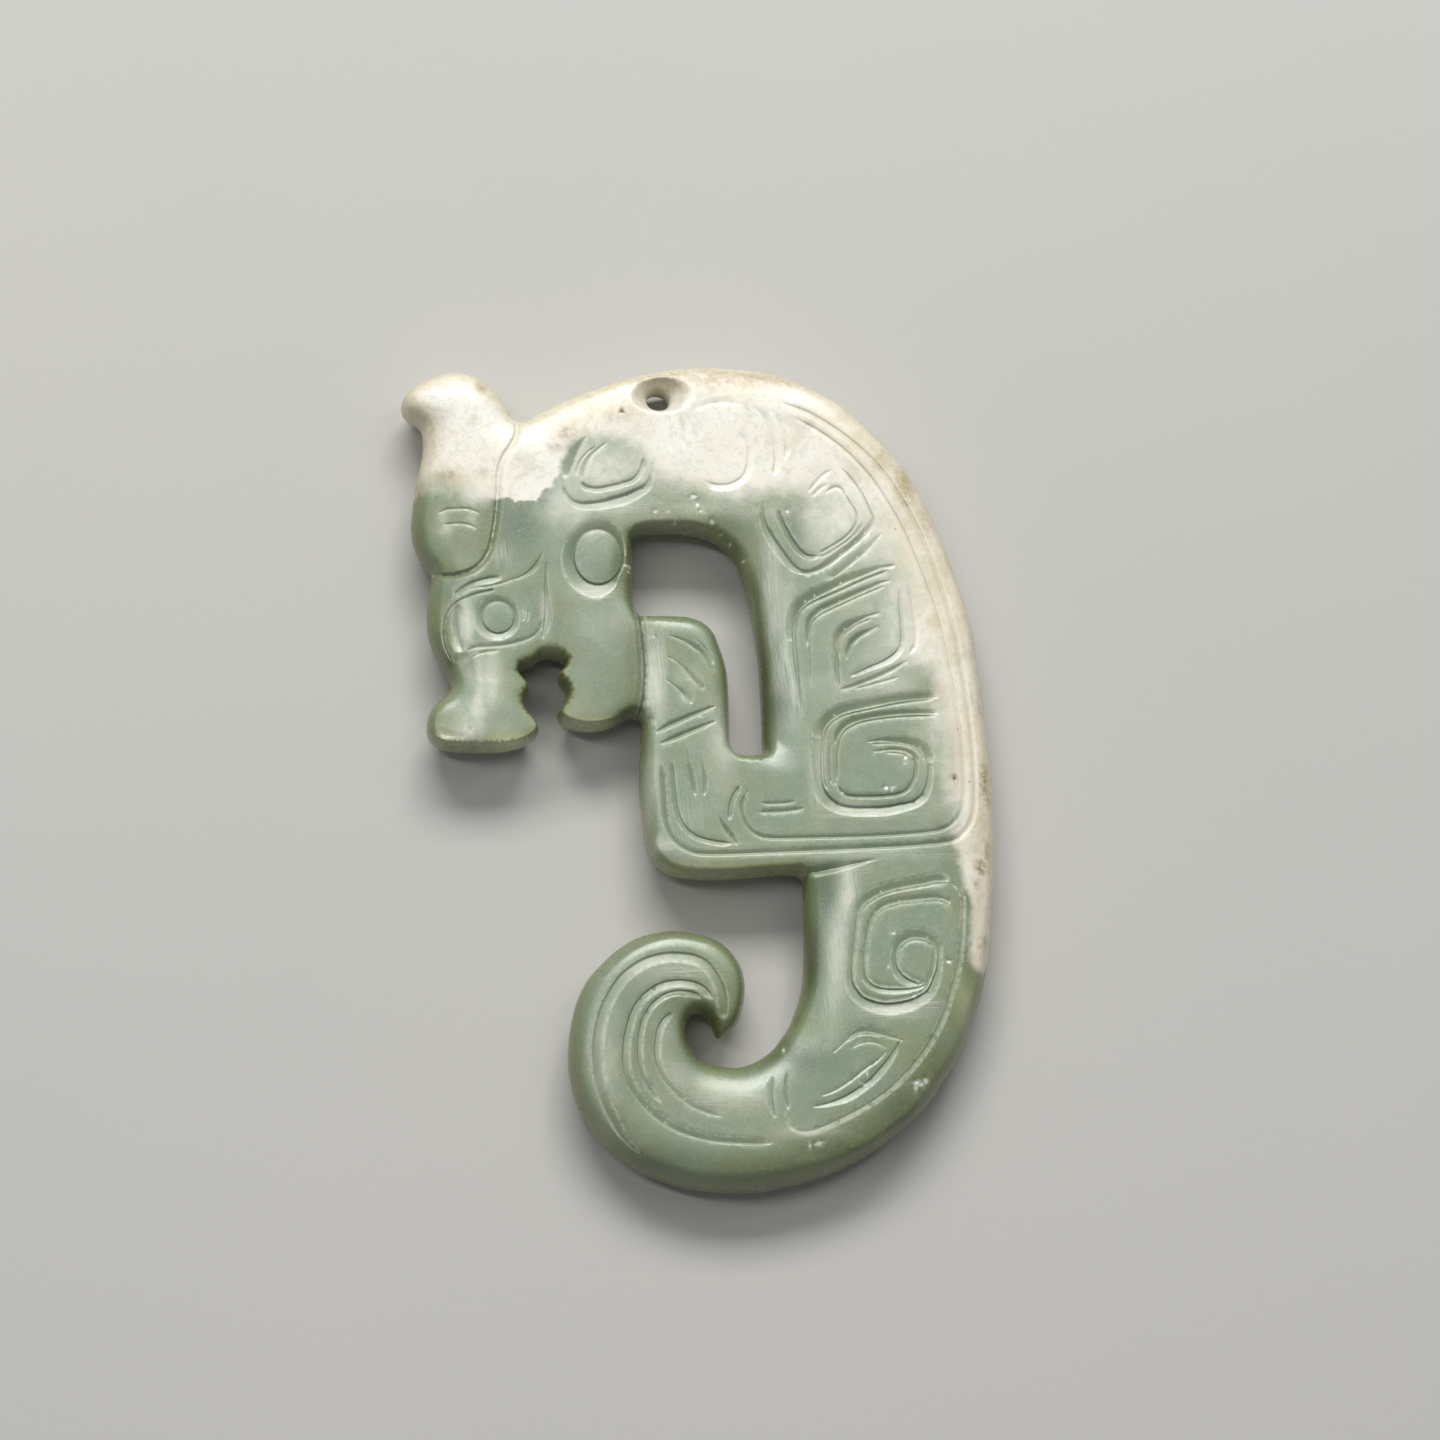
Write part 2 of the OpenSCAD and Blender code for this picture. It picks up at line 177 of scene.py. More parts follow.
line("d2_b", -1.3, 0.09, [(886, 586), (872, 591.5), (858, 597.5), (844, 604), (830, 610.5), (818, 617), (811.5, 624), (809.5, 634), (809.5, 650), (810, 668), (810, 692)], steep=1.3, fade=(8, 18))
line("d_h1", -8, 0.25, [(879, 612.5, 0.6), (868, 616.5, 2.6), (860, 620.5, 4.5), (852, 625, 7), (845, 630, 8.5), (840, 635.5, 8), (837.5, 641, 6.5), (837.8, 651, 5)], fade=(1, 8))
line("d_h1b", -1.3, 0.09, [(872, 619), (862, 622.5), (853, 627.5), (846, 633), (841, 639), (839.5, 650), (839, 666)], steep=1.3, fade=(6, 14))
line("d_hl", -6, 0.16, [(837.5, 636, 6), (837, 645, 6), (837, 655, 6), (837.5, 668, 6.5), (838.5, 680, 5), (840, 690, 1)], fade=(8, 3), steep=1.6)
line("d_h2", -6, 0.21, [(878, 626.5, 0.6), (870, 630.5, 2.4), (862, 635, 4.6), (855, 640, 5.6), (850, 646, 5), (847.5, 653, 3.5), (847, 661, 1.5)], fade=(1, 6))
line("d_r1", 5, 0.15, [(898, 589, 2), (899, 605, 5), (900, 620, 6), (901, 635, 6), (900, 645, 6), (896, 652, 6), (889, 658, 6), (880, 663, 5), (868, 668, 4), (858, 673, 3), (848, 677, 2)], fade=(10, 8), steep=1.6)
line("d_r2", 4, 0.10, [(906, 583), (910, 600), (913, 618), (915, 632), (914, 645), (908, 656)], fade=(12, 10), steep=2)
line("d_r3", -4, 0.17, [(908, 660.5, 1), (893, 669.5, 3.5), (878, 677, 4.5), (862, 683.5, 4), (850, 687.5, 3), (839, 690, 1)], fade=(4, 3))
line("d_r4", -2, 0.07, [(900, 677), (885, 681.5), (870, 685.5), (852, 690)], fade=(8, 8), steep=1.3)
# cloud e
line("e1", -11, 0.26, [(940, 697.3, 7), (920, 698.5, 8), (905, 700, 8.5), (890, 702, 9), (872, 705.5, 9), (858, 708.5, 9.5), (846, 711.5, 10), (836, 716, 11), (828, 722, 11), (823, 729, 10.5), (820.8, 737, 10), (820.5, 744, 9)], fade=(14, 9))
line("e1_b", -1.5, 0.12, [(936, 699.5), (918, 701), (900, 703.5), (884, 706.5), (868, 710), (852, 713.5), (842, 716.5), (833, 722), (827, 729), (824, 738), (823, 750), (823, 770), (824, 782), (828, 791)], steep=1.5, fade=(12, 6))
line("e1_o", -12, 0.24, [(822, 731, 8), (820.6, 742, 10), (820.5, 755, 11.5), (820.5, 770, 12), (821.5, 782, 12), (825, 792, 12), (832, 800, 11), (842, 805.5, 10), (855, 807.5, 10), (870, 807.5, 10), (885, 807, 10), (900, 804.5, 9), (912, 802, 8), (920, 797, 8), (925, 789, 7), (928, 778, 6), (928.5, 768, 5), (926, 758, 4)], fade=(9, 8), steep=2.2)
line("e1_h", -9, 0.24, [(928, 766, 4), (927, 760, 9), (924, 753, 9.5), (918, 748, 9), (908, 744, 8.5), (896, 742, 7), (885, 741, 4.5), (876, 741, 2), (867, 742, 0.6)], fade=(8, 2))
line("e1_hb", 1.3, 0.09, [(870, 744.5), (885, 743.8), (900, 744.5), (912, 747.5), (920, 753.5), (924.5, 762)], steep=1.3, fade=(6, 6))
line("e2", -6, 0.22, [(940, 713.5, 4), (915, 713.5, 5), (895, 714.5, 5.5), (878, 716.5, 6), (862, 719.5, 6.5), (850, 723.5, 6.5), (842, 729.5, 6), (837, 737, 4.5), (835, 745, 2)], fade=(12, 4))
line("e2_b", -1.4, 0.11, [(938, 716), (915, 716.5), (895, 717.5), (878, 719.5), (862, 722.5), (851, 727), (843, 733.5), (839, 742), (837, 755), (836.5, 770), (837, 783)], steep=1.4, fade=(10, 8))
line("e2_l", -1.5, 0.10, [(830, 744), (829, 758), (829.5, 772), (831, 786)], steep=1.5, fade=(6, 6))
line("e2_o", -3.5, 0.16, [(838, 786), (843, 792.5), (851, 795.5), (865, 796), (882, 795.5), (896, 794), (905, 790.5), (911, 783), (914.5, 773), (915, 764), (911.5, 757)], fade=(4, 4), steep=1.4)
line("e2_h", -3.5, 0.15, [(917, 764, 3), (914, 757, 4), (907, 752, 3.5), (897, 750, 3), (885, 750.5, 2.4), (872, 752, 0.6)], fade=(4, 2), steep=1.2)
line("e2_hb", 1.2, 0.06, [(884, 753), (896, 753.5), (906, 755.5)], steep=1.2, fade=(5, 5))
# the lines that follow the back and turn along the arm
line("f_out", 5, 0.15, [(776, 402), (800, 409), (822, 420), (843, 434), (864, 451), (884, 472), (901, 497), (915, 521), (928, 550), (939, 580), (948, 606), (956, 638), (963, 674), (968, 706), (973, 745), (975, 775), (975, 800), (972, 820), (964, 833), (952, 841), (920, 845), (880, 847.5), (840, 849.5), (795, 851.5), (745, 853.5), (704, 854), (688, 850.5), (675, 842), (667, 829), (663.5, 810), (662, 786), (660, 762)][::-1], fade=(16, 30), steep=2.6)
line("f_in", 4, 0.13, [(790, 417), (812, 427), (833, 441), (852, 457), (871, 478), (887, 502), (903, 530), (915, 558), (927, 588), (936, 614), (945, 650), (952, 684), (957, 712), (961, 738), (963, 762), (964, 788), (962, 808), (956, 820), (944, 829), (925, 832.5), (895, 835), (850, 837), (800, 838), (768, 838), (754, 833), (745, 823), (741.5, 811), (743, 799), (749, 789)][::-1], fade=(14, 30), steep=2.0)
line("f_arm", 5, 0.15, [(671, 755), (673.5, 777), (675.5, 799), (679, 815), (685.5, 827), (696, 835.5), (712, 840.5), (735, 844)][::-1], fade=(14, 16), steep=2.0)
line("f_elbow", 5, 0.15, [(741, 784), (733, 795), (729, 808), (728.5, 821)], fade=(8, 6), steep=1.5)
line("f_wedge", 6, 0.18, [(719, 817, 1), (723, 826, 4), (730, 836, 5), (738, 846, 2)], fade=(3, 6))
line("f_h1", 3, 0.10, [(759, 803.5), (775, 804), (797, 802)], fade=(8, 8), steep=1.5)
line("f_h2", 4, 0.13, [(758, 812.5), (775, 812), (790, 811), (806, 808.5)], fade=(6, 10), steep=1.5)
line("f_v1", 5, 0.15, [(687, 749, 1), (688.5, 765, 3), (691.5, 782, 5), (695, 797, 3)], fade=(6, 6), steep=1.4)
line("f_v2", 4, 0.14, [(700, 748, 1), (702, 765, 2.5), (704, 782, 4), (704, 797, 2)], fade=(6, 6), steep=1.4)
# wrist and claws
line("w1", -4, 0.19, [(716, 705, 1), (702, 711, 3), (688, 717, 4), (672, 724, 4.5), (663, 728.5, 3.5), (656, 731.5, 1)], fade=(2, 2), steep=2.6)
line("w2", -4, 0.19, [(716, 720.5, 1), (704, 725.5, 3), (690, 731.5, 4), (675, 738, 4.5), (667, 741, 3), (659, 743.5, 1)], fade=(2, 2), steep=2.6)
line("k_top", 6, 0.15, [(668, 635, 1), (680, 639, 2), (690, 644, 4), (700, 651, 6), (707, 659, 6), (714, 670, 1)], fade=(4, 2))
line("k_top2", 2, 0.08, [(694, 638), (702, 645), (709, 654), (715, 665)], fade=(6, 6), steep=1.3)
line("k_a", 8, 0.17, [(667, 656, 1), (675, 660, 1.5), (683, 667, 2.5), (690, 675, 5), (697, 683, 7), (703, 689.5, 3)], fade=(3, 2))
line("k_b", 9, 0.19, [(665, 678, 1), (675, 685.5, 2), (682, 692, 5), (687, 698, 8), (691, 703, 3)], fade=(3, 2))
# spiral g
line("g1", -11, 0.2, [(952, 881, 8), (935, 880.5, 9), (925, 883, 9), (910, 885.5, 9), (895, 888.5, 9), (882, 892.5, 9.5), (872, 897.5, 10), (863, 904, 10), (857, 913, 10), (855, 925, 9), (853.5, 940, 8), (852, 955, 8), (851, 970, 8), (852, 982, 9), (856, 990, 10), (862, 997, 10), (872, 1001.5, 11), (885, 1004, 12), (898, 1003, 12), (910, 1000.5, 11), (920, 996, 10), (928, 990, 9), (933, 980, 8), (937, 968, 6), (938, 957, 5), (937, 948, 6), (932, 942, 8), (925, 938.5, 9.5), (915, 937, 10), (906, 939.5, 9), (900, 944, 8), (896, 951, 6.5), (895, 960, 6.5), (897, 969, 7), (903, 976.5, 8), (911, 981.5, 7), (920, 985, 2)], beside=3, beside_depth=0.07, fade=(14, 5), steep=1.5)
line("g2", -7, 0.15, [(951, 905, 1.5), (945, 899.5, 4), (935, 898, 6), (925, 898.5, 7), (910, 900, 7), (897, 902, 7), (885, 905.5, 7), (877, 911, 7), (872, 918, 6), (868, 928, 5), (866, 940, 4), (864, 952, 4), (863.5, 965, 4), (864, 975, 5), (867, 981, 5), (873, 986, 5), (882, 989, 5), (895, 990, 5), (908, 989.5, 4), (918, 988, 3), (926, 985, 1)], beside=3, beside_depth=0.05, fade=(5, 3), steep=1.4)
line("g_rim", 6, 0.09, [(946, 880, 2), (956, 886, 3), (962, 897, 4), (962.5, 915, 4), (961, 938, 5), (957.5, 966, 6), (950.5, 992, 6), (942, 1018, 6), (929, 1043, 6), (911, 1067, 6), (889, 1089, 6), (866, 1105, 6), (840, 1119, 6), (814, 1130, 6), (800, 1131, 5), (790, 1125, 4), (785, 1113, 3), (783, 1100, 2)], fade=(14, 34), steep=3.5, curve=1.5)
# leaf h
line("h_up", 8, 0.13, [(832, 1053.5, 1), (840, 1046.5, 2), (847, 1040.5, 4), (853.5, 1035, 6), (861, 1032, 8), (870, 1032, 8), (880, 1034, 8), (890, 1037, 6), (904, 1041, 1)], fade=(3, 2), steep=1.5)
line("h_upb", 1.3, 0.05, [(846, 1044), (855, 1036.5), (864, 1034.5), (873, 1035), (884, 1038)], steep=1.3, fade=(6, 8))
line("h_in", 5, 0.07, [(850, 1049, 1), (858, 1045, 4), (867, 1042.5, 5), (876, 1043.5, 4), (887, 1049, 1)], fade=(4, 4), steep=1.3)
line("h_low", 7, 0.15, [(900, 1041, 1), (895, 1049.5, 4), (887.5, 1060, 6), (879.5, 1069.5, 7), (869.5, 1080, 7), (859, 1088, 7), (847, 1095.5, 7), (835, 1101, 5), (822, 1105, 3), (812, 1107, 1)], fade=(3, 3), steep=1.8)
line("h_mid", 3, 0.08, [(887, 1051, 1), (878, 1059.5, 2.5), (867, 1067, 3), (855, 1076.5, 3), (843, 1085.5, 2.5), (832, 1092, 2), (820, 1096.5, 1)], fade=(5, 5), steep=1.3)
line("h_s1", -6, 0.14, [(774, 1075, 2), (772, 1086, 6), (771.5, 1097, 7), (773, 1107, 6), (776, 1119, 2)], fade=(5, 4), steep=1.5)
line("h_s2", 4, 0.14, [(787, 1072, 2), (785, 1082, 4), (784.5, 1092, 4), (786, 1101, 4), (788.5, 1110, 2)], fade=(5, 4), steep=1.5)
# tail
line("t_rim", 10, 0.145, [(724, 1020), (726, 1006), (724, 991), (719, 978), (712, 967), (703, 959), (692, 955), (680, 953.5), (667, 953.5), (654, 956), (642, 960.5), (630, 968), (620, 977), (611, 990), (603, 1005), (598, 1021), (595, 1038), (594.5, 1058), (596.5, 1078), (601, 1096), (609, 1115), (620, 1133), (633, 1147), (650, 1160)], fade=(8, 60), steep=3.0)
line("t_1", 8, 0.135, [(714, 1000), (708, 990), (700, 984), (690, 981), (678, 980), (665, 982), (655, 986), (645, 993), (637, 1002), (631, 1013), (627, 1026), (624, 1040), (623, 1055), (624, 1070), (627, 1080), (633, 1092), (642, 1104), (653, 1115), (665, 1124), (680, 1132), (695, 1137), (712, 1141), (735, 1143), (760, 1144), (778, 1144)], fade=(10, 24), steep=1.6)
line("t_2", 6, 0.11, [(703, 1000), (697, 993.5), (688, 991), (678, 990.5), (667, 993), (657, 999), (649, 1007), (643, 1017), (640, 1028), (638, 1040), (638, 1055), (640, 1070), (646, 1084), (655, 1097), (664, 1107)], fade=(10, 22), steep=1.3)
line("t_2b", 1.5, 0.07, [(690, 997), (680, 994.5), (670, 996), (661, 1000), (654, 1006), (650, 1012)], fade=(6, 6), steep=1.5)
line("t_3", 7, 0.12, [(676, 1010), (665, 1017), (658, 1028), (655, 1045), (655, 1055), (658, 1068), (663, 1078), (670, 1087), (680, 1097), (690, 1105), (702, 1111), (724, 1118)], fade=(12, 12), steep=1.4)
# face
line("brow0", 7, 0.15, [(504, 577, 3), (492, 578, 6), (480, 580.5, 7), (469, 584.5, 7), (460, 589.5, 6), (453, 596, 4)], fade=(8, 6), steep=3.0)
line("brow1", 3, 0.16, [(543, 552, 0.8), (539, 559, 3.2), (534, 566, 5), (528, 572, 4), (520, 577, 2.4), (510, 580.5, 2), (500, 584, 2), (488, 586.5, 2), (476, 587.5, 2), (466, 589.5, 2), (458, 593, 2), (450, 600, 2)], fade=(2, 8), steep=1.6)
line("brow2", 2, 0.15, [(496, 589.5), (485, 591.5), (475, 594), (466, 597), (458, 600.5), (452, 606)], fade=(5, 5), steep=1.6)
line("plate_r", 16, 0.19, [(457.5, 603, 10), (456, 612, 15), (456, 622, 16), (458, 635, 16), (461, 646, 15), (465, 653, 10)], fade=(7, 7), curve=1.9)
line("brow3", 3, 0.09, [(457, 601), (449, 608), (444.5, 618), (443, 630), (444.5, 643), (449, 654), (455, 664)], fade=(5, 8), steep=1.5)
line("plate_l", -9, 0.19, [(457.5, 603, 5), (456, 612, 8), (456, 622, 9), (458, 635, 9), (461, 646, 8), (465, 653, 4)], fade=(5, 5))
line("lid", -4, 0.12, [(541.5, 619), (540.5, 627), (536.5, 633), (529.5, 638), (518, 642), (505, 644.8), (492, 646.3), (480, 647), (472, 648.5), (464, 652)], fade=(6, 5), steep=2.0)
line("lid2", -3, 0.09, [(500, 650.5), (488, 651.8), (479, 654), (472, 657), (466, 661.5)], fade=(6, 4), steep=1.6)
line("crow1", 1.4, 0.06, [(523, 606), (525, 614), (522.5, 622)], fade=(3, 3), steep=1.4)
line("crow2", 1.4, 0.05, [(527, 609), (528.5, 616), (526.5, 624)], fade=(3, 3), steep=1.4)
line("wedge", 7.5, 0.25, [(546.5, 563, 0.8), (545.5, 575, 2.2), (545, 588, 4), (545.5, 600, 5), (545.5, 611, 7), (544.5, 621, 7.5), (543.5, 630, 5), (543, 638, 1)], fade=(2, 2), steep=1.5)
line("horn_lid1", 2, 0.08, [(437, 514), (444, 510), (454, 508.8), (465, 508.8), (473, 510.3), (480, 514)], fade=(5, 3), steep=2.0)
line("horn_lid2", 2, 0.08, [(442, 525), (450, 523.8), (461, 523.8), (470, 525.3), (477, 529)], fade=(5, 3), steep=2.0)
line("nose", 18, 0.34, [(461, 648, 14), (467, 658, 17), (472, 668, 16), (474, 680, 14), (472, 691, 15), (466, 700, 20), (458, 708, 28), (450, 718, 34), (445, 730, 36), (443, 742, 36)], fade=(10, 10), steep=46, step=1.0, curve=1.7)

line("f_under", 12, 0.50, [(792, 873), (812, 871), (835, 867), (860, 862), (886, 857)], fade=(2, 60), steep=7)
line("horn_edge", 9, 0.34, [(513, 408), (517, 420), (517, 433), (511, 446), (503, 458), (499, 472), (498, 487), (497.5, 500), (496.5, 512), (494.5, 528), (491.5, 543), (488.5, 553), (482, 562.5), (473, 570), (460, 574), (447, 575), (436, 572), (428, 568)], fade=(4, 2), steep=4)
line("jaw_seam", -9, 0.55, [(636, 604), (640, 619), (643, 642), (645, 666), (644, 691), (641, 707), (638, 718)], fade=(2, 2), steep=24)

# How the stone rounds over towards its edge: x, y (mm), run of the slope, its drop, radius of the edge, half
# thickness, and how many times broader the back's edge is rounded
FORM = [
    (-19, 29, 2.6, 1, 1, 2.75, 1.1), (-18, 25, 3.2, 1.2, 1, 2.75, 1.1), (-20, 20, 3.2, 1.2, 1, 2.75, 1.1), (-17, 18, 3, 1, 1, 2.8, 1.1),
    (-19, 12, 4, 1.3, 0.9, 2.8, 1.1), (-17, 6, 2.6, 0.8, 1, 2.75, 1.8), (-18, 2.5, 1.6, 0.35, 0.42, 2.7, 4.0), (-14, 3, 1.3, 0.25, 0.38, 2.65, 4.0),
    (-14, 7, 1, 0.2, 0.4, 2.65, 3.0), (-9, 8, 1, 0.2, 0.4, 2.7, 3.0), (-8, 4.5, 1.3, 0.25, 0.38, 2.7, 4.0), (-6, 8, 2.4, 0.6, 0.8, 2.75, 1.1),
    (-6, 14, 2.2, 0.7, 0.8, 2.8, 1.1), (-11, 26, 3.4, 0.8, 1, 2.8, 1.1), (-2, 29, 3.4, 0.75, 1, 2.8, 1.1), (-2, 20.5, 1.4, 0.3, 0.45, 2.75, 4.2),
    (8, 28, 3.3, 0.85, 1, 2.8, 1.1), (4, 18, 3.2, 1.3, 0.9, 2.8, 1.6), (17, 19, 3, 1, 1, 2.8, 1.1), (7, 10, 3.9, 1.4, 0.9, 2.8, 1.1),
    (20, 5, 2.7, 0.9, 1, 2.8, 1.1), (7, 3, 3.9, 1.4, 0.9, 2.8, 1.1), (0, 8, 1.8, 0.7, 0.9, 2.6, 1.1), (-3, 8, 1.8, 0.5, 0.9, 2.55, 1.1),
    (-3, -2, 2, 0.7, 1, 2.65, 1.1), (-1, -6, 1.4, 0.3, 0.48, 2.7, 3.4), (5, -6, 1.3, 0.25, 0.45, 2.75, 3.4), (4, 0, 1.5, 0.22, 0.7, 2.75, 1.4),
    (21, -6, 2.7, 0.9, 1, 2.8, 1.1), (9.5, -11, 4.4, 1.4, 0.9, 2.8, 1.1), (19, -16, 2.9, 1, 1, 2.8, 1.1), (9, -17, 4.2, 1.3, 0.9, 2.8, 1.1),
    (14, -24, 3, 1, 1, 2.75, 1.1), (5, -23, 3.4, 1.3, 1, 2.75, 1.1), (5, -29, 3.4, 1.25, 1.5, 2.75, 1.0), (-4, -28, 3.4, 1.2, 1.5, 2.7, 1.0),
    (-1, -23, 3.2, 1.3, 1, 2.7, 1.1), (-8, -21, 2.4, 0.9, 1, 2.7, 1.1), (-3, -19, 2.6, 1.1, 0.9, 2.65, 1.1), (-5, -14, 2.2, 0.8, 1, 2.65, 1.4),
    (0, -13, 2, 0.7, 0.9, 2.6, 1.1), (2.5, -16, 1.4, 0.6, 0.9, 2.5, 1.1)]

# Raised discs, each in a round groove: centre and radii (px), depth (mm) of the ring cut round it, depth of the
# slope outside that, how far its top domes (mm), and the slope's width (px) by angle, anticlockwise from the right
DISCS = [
    ((598, 556.5), (24.5, 28.5), 0.42, 0.34, 0.15, ((0, 3), (45, 8), (90, 12), (135, 11), (180, 14.5), (210, 16), (240, 15), (270, 15), (300, 9), (320, 2.5))),
    ((498, 617.5), (16.2, 16.2), 0.22, 0.20, 0.07, ((0, 7), (90, 6), (180, 11), (270, 8)))]

# Small chips and pits: x, y (px), radius (px), depth (mm)
CHIPS = [
    (655, 511, 2.6, 0.05), (700, 511, 2.2, 0.05), (626, 565, 2.2, 0.05), (630, 571, 1.6, 0.04), (693, 496, 4.0, 0.10), (697, 502, 3.2, 0.08),
    (712, 520, 3.4, 0.10), (717, 526, 2.8, 0.07), (722, 532, 3.0, 0.08), (732, 541, 2.8, 0.08), (736, 545, 2.0, 0.05), (745, 558, 2.0, 0.05),
    (905, 757, 2.4, 0.07), (885, 787, 3.0, 0.08), (891, 789, 2.2, 0.06), (888, 794, 1.8, 0.05), (949, 961, 2.6, 0.08), (914, 995, 2.6, 0.08),
    (916, 1081, 3.2, 0.08), (922, 1083, 3.4, 0.09), (925, 1078, 2.2, 0.05), (815, 1143, 2.8, 0.07), (822, 1141, 2.2, 0.05), (772, 1047, 2.2, 0.05),
    (785, 1049, 2.4, 0.05), (622, 412, 1.6, 0.10), (954, 779, 2.0, 0.10), (978, 870, 2.6, 0.06), (863, 1083, 2.0, 0.05), (787, 511, 2.4, 0.05),
    (655, 636, 1.6, 0.04), (548, 690, 1.6, 0.04), (470, 730, 1.8, 0.04), (734, 700, 1.6, 0.04), (668, 412, 1.8, 0.04), (894, 933, 1.6, 0.04)]

# ---------------------------------------------------------------------------------------------------------------
# The surface as half the stone's thickness over the plane, worked out on a fine grid
# ---------------------------------------------------------------------------------------------------------------
STEP = 0.04
GX0, GY0, GX1, GY1 = -24.0, -32.4, 23.8, 33.3
NX, NY = int((GX1 - GX0) / STEP) + 1, int((GY1 - GY0) / STEP) + 1
gx = (GX0 + np.arange(NX) * STEP).astype(np.float32)
gy = (GY0 + np.arange(NY) * STEP).astype(np.float32)


def smooth(points, n, closed=False):
    """A smooth run through the points, with n steps from each to the next."""
    p = np.array(points, float)
    count = len(p)
    at = (lambda i: p[i % count]) if closed else (lambda i: p[min(max(i, 0), count - 1)])
    t = (np.arange(n) / n)[:, None]
    out = []
    for i in range(count if closed else count - 1):
        a, b, c, d = at(i - 1), at(i), at(i + 1), at(i + 2)
        out.append(0.5 * (2 * b + (c - a) * t + (2 * a - 5 * b + 4 * c - d) * t * t + (3 * b - a - 3 * c + d) * t ** 3))
    if not closed:
        out.append(p[-1:])
    return np.vstack(out)


def spaced(points, gap, closed=False):
    """The same run with its points an even gap apart."""
    p = np.vstack([points, points[:1]]) if closed else np.asarray(points)
    s = np.concatenate([[0], np.cumsum(np.hypot(*np.diff(p[:, :2], axis=0).T))])
    n = max(2, int(round(s[-1] / gap)))
    t = np.linspace(0, s[-1], n + 1)
    out = np.column_stack([np.interp(t, s, p[:, k]) for k in range(p.shape[1])])
    return out[:-1] if closed else out


def patch(x0, y0, x1, y1):
    i0, i1 = max(int((x0 - GX0) / STEP), 0), min(int((x1 - GX0) / STEP) + 2, NX)
    j0, j1 = max(int((y0 - GY0) / STEP), 0), min(int((y1 - GY0) / STEP) + 2, NY)
    return slice(j0, j1), slice(i0, i1)


def from_run(pts, reach, closed=False):
    """On the grid: distance to a run of points, the side it lies on (left of travel is positive), how far along."""
    n = len(pts)
    w_all = patch(pts[:, 0].min() - reach, pts[:, 1].min() - reach, pts[:, 0].max() + reach, pts[:, 1].max() + reach)
    shape = (w_all[0].stop - w_all[0].start, w_all[1].stop - w_all[1].start)
    dist = np.full(shape, 1e9, np.float32)
    side = np.zeros(shape, np.float32)
    along = np.zeros(shape, np.float32)
    s0 = 0.0
    for k in range(n if closed else n - 1):
        a, b = pts[k], pts[(k + 1) % n]
        d = b - a
        length = math.hypot(*d)
        if length < 1e-9:
            continue
        w = patch(min(a[0], b[0]) - reach, min(a[1], b[1]) - reach, max(a[0], b[0]) + reach, max(a[1], b[1]) + reach)
        here = (slice(w[0].start - w_all[0].start, w[0].stop - w_all[0].start), slice(w[1].start - w_all[1].start, w[1].stop - w_all[1].start))
        x, y = gx[w[1]][None, :] - np.float32(a[0]), gy[w[0]][:, None] - np.float32(a[1])
        t = np.clip((x * d[0] + y * d[1]) / (length * length), 0, 1)
        ex, ey = x - t * d[0], y - t * d[1]
        q = np.sqrt(ex * ex + ey * ey)
        better = q < dist[here] - 1e-7
        dist[here] = np.where(better, q, dist[here])
        side[here] = np.where(better, np.sign(d[0] * y - d[1] * x), side[here])
        along[here] = np.where(better, s0 + t * length, along[here])
        s0 += length
    return w_all, dist, side, along, s0


def inside(loops):
    """Which grid points lie inside the loops."""
    mask = np.zeros((NY, NX), bool)
    for pts in loops:
        n = len(pts)
        for k in range(n):
            (xa, ya), (xb, yb) = pts[k], pts[(k + 1) % n]
            if ya == yb:
                continue
            lo, hi = (ya, yb) if ya < yb else (yb, ya)
            for j in range(max(math.ceil((lo - GY0) / STEP), 0), min(math.ceil((hi - GY0) / STEP), NY)):
                x = xa + (xb - xa) * (GY0 + j * STEP - ya) / (yb - ya)
                mask[j, max(0, math.ceil((x - GX0) / STEP)):] ^= True
    return mask


def blur(a, sigma):
    r = max(1, int(3 * sigma / STEP))
    k = np.exp(-0.5 * (np.arange(-r, r + 1) * STEP / sigma) ** 2)
    k /= k.sum()
    for ax in (0, 1):
        p = np.pad(a, [(r, r) if i == ax else (0, 0) for i in (0, 1)], mode="edge")
        out = np.zeros_like(a)
        for i, w in enumerate(k.astype(np.float32)):
            out += w * (p[i:i + a.shape[0], :] if ax == 0 else p[:, i:i + a.shape[1]])
        a = out
    return a


def spread(table, columns):
    """A table's columns, carried smoothly over the grid from its x, y places."""
    f = np.array(table, float)
    every = 8
    sx, sy = np.append(gx[::every], gx[-1] + STEP * every), np.append(gy[::every], gy[-1] + STEP * every)
    sx, sy = GX0 + np.arange(len(sx)) * STEP * every, GY0 + np.arange(len(sy)) * STEP * every
    near = (sx[None, :, None] - f[:, 0]) ** 2 + (sy[:, None, None] - f[:, 1]) ** 2
    w = 1 / (near + 1.0) ** 2
    w /= w.sum(-1, keepdims=True)
    c = w @ f[:, columns]
    ix, iy = np.arange(NX) / every, np.arange(NY) / every
    i0, j0 = np.minimum(ix.astype(int), c.shape[1] - 2), np.minimum(iy.astype(int), c.shape[0] - 2)
    fx, fy = (ix - i0)[None, :, None], (iy - j0)[:, None, None]
    out = (1 - fy) * ((1 - fx) * c[j0][:, i0] + fx * c[j0][:, i0 + 1]) + fy * ((1 - fx) * c[j0 + 1][:, i0] + fx * c[j0 + 1][:, i0 + 1])
    return [out[..., k].astype(np.float32) for k in range(out.shape[-1])]


def ramp(t):
    t = np.clip(t, 0, 1)
    return t * t * (3 - 2 * t)


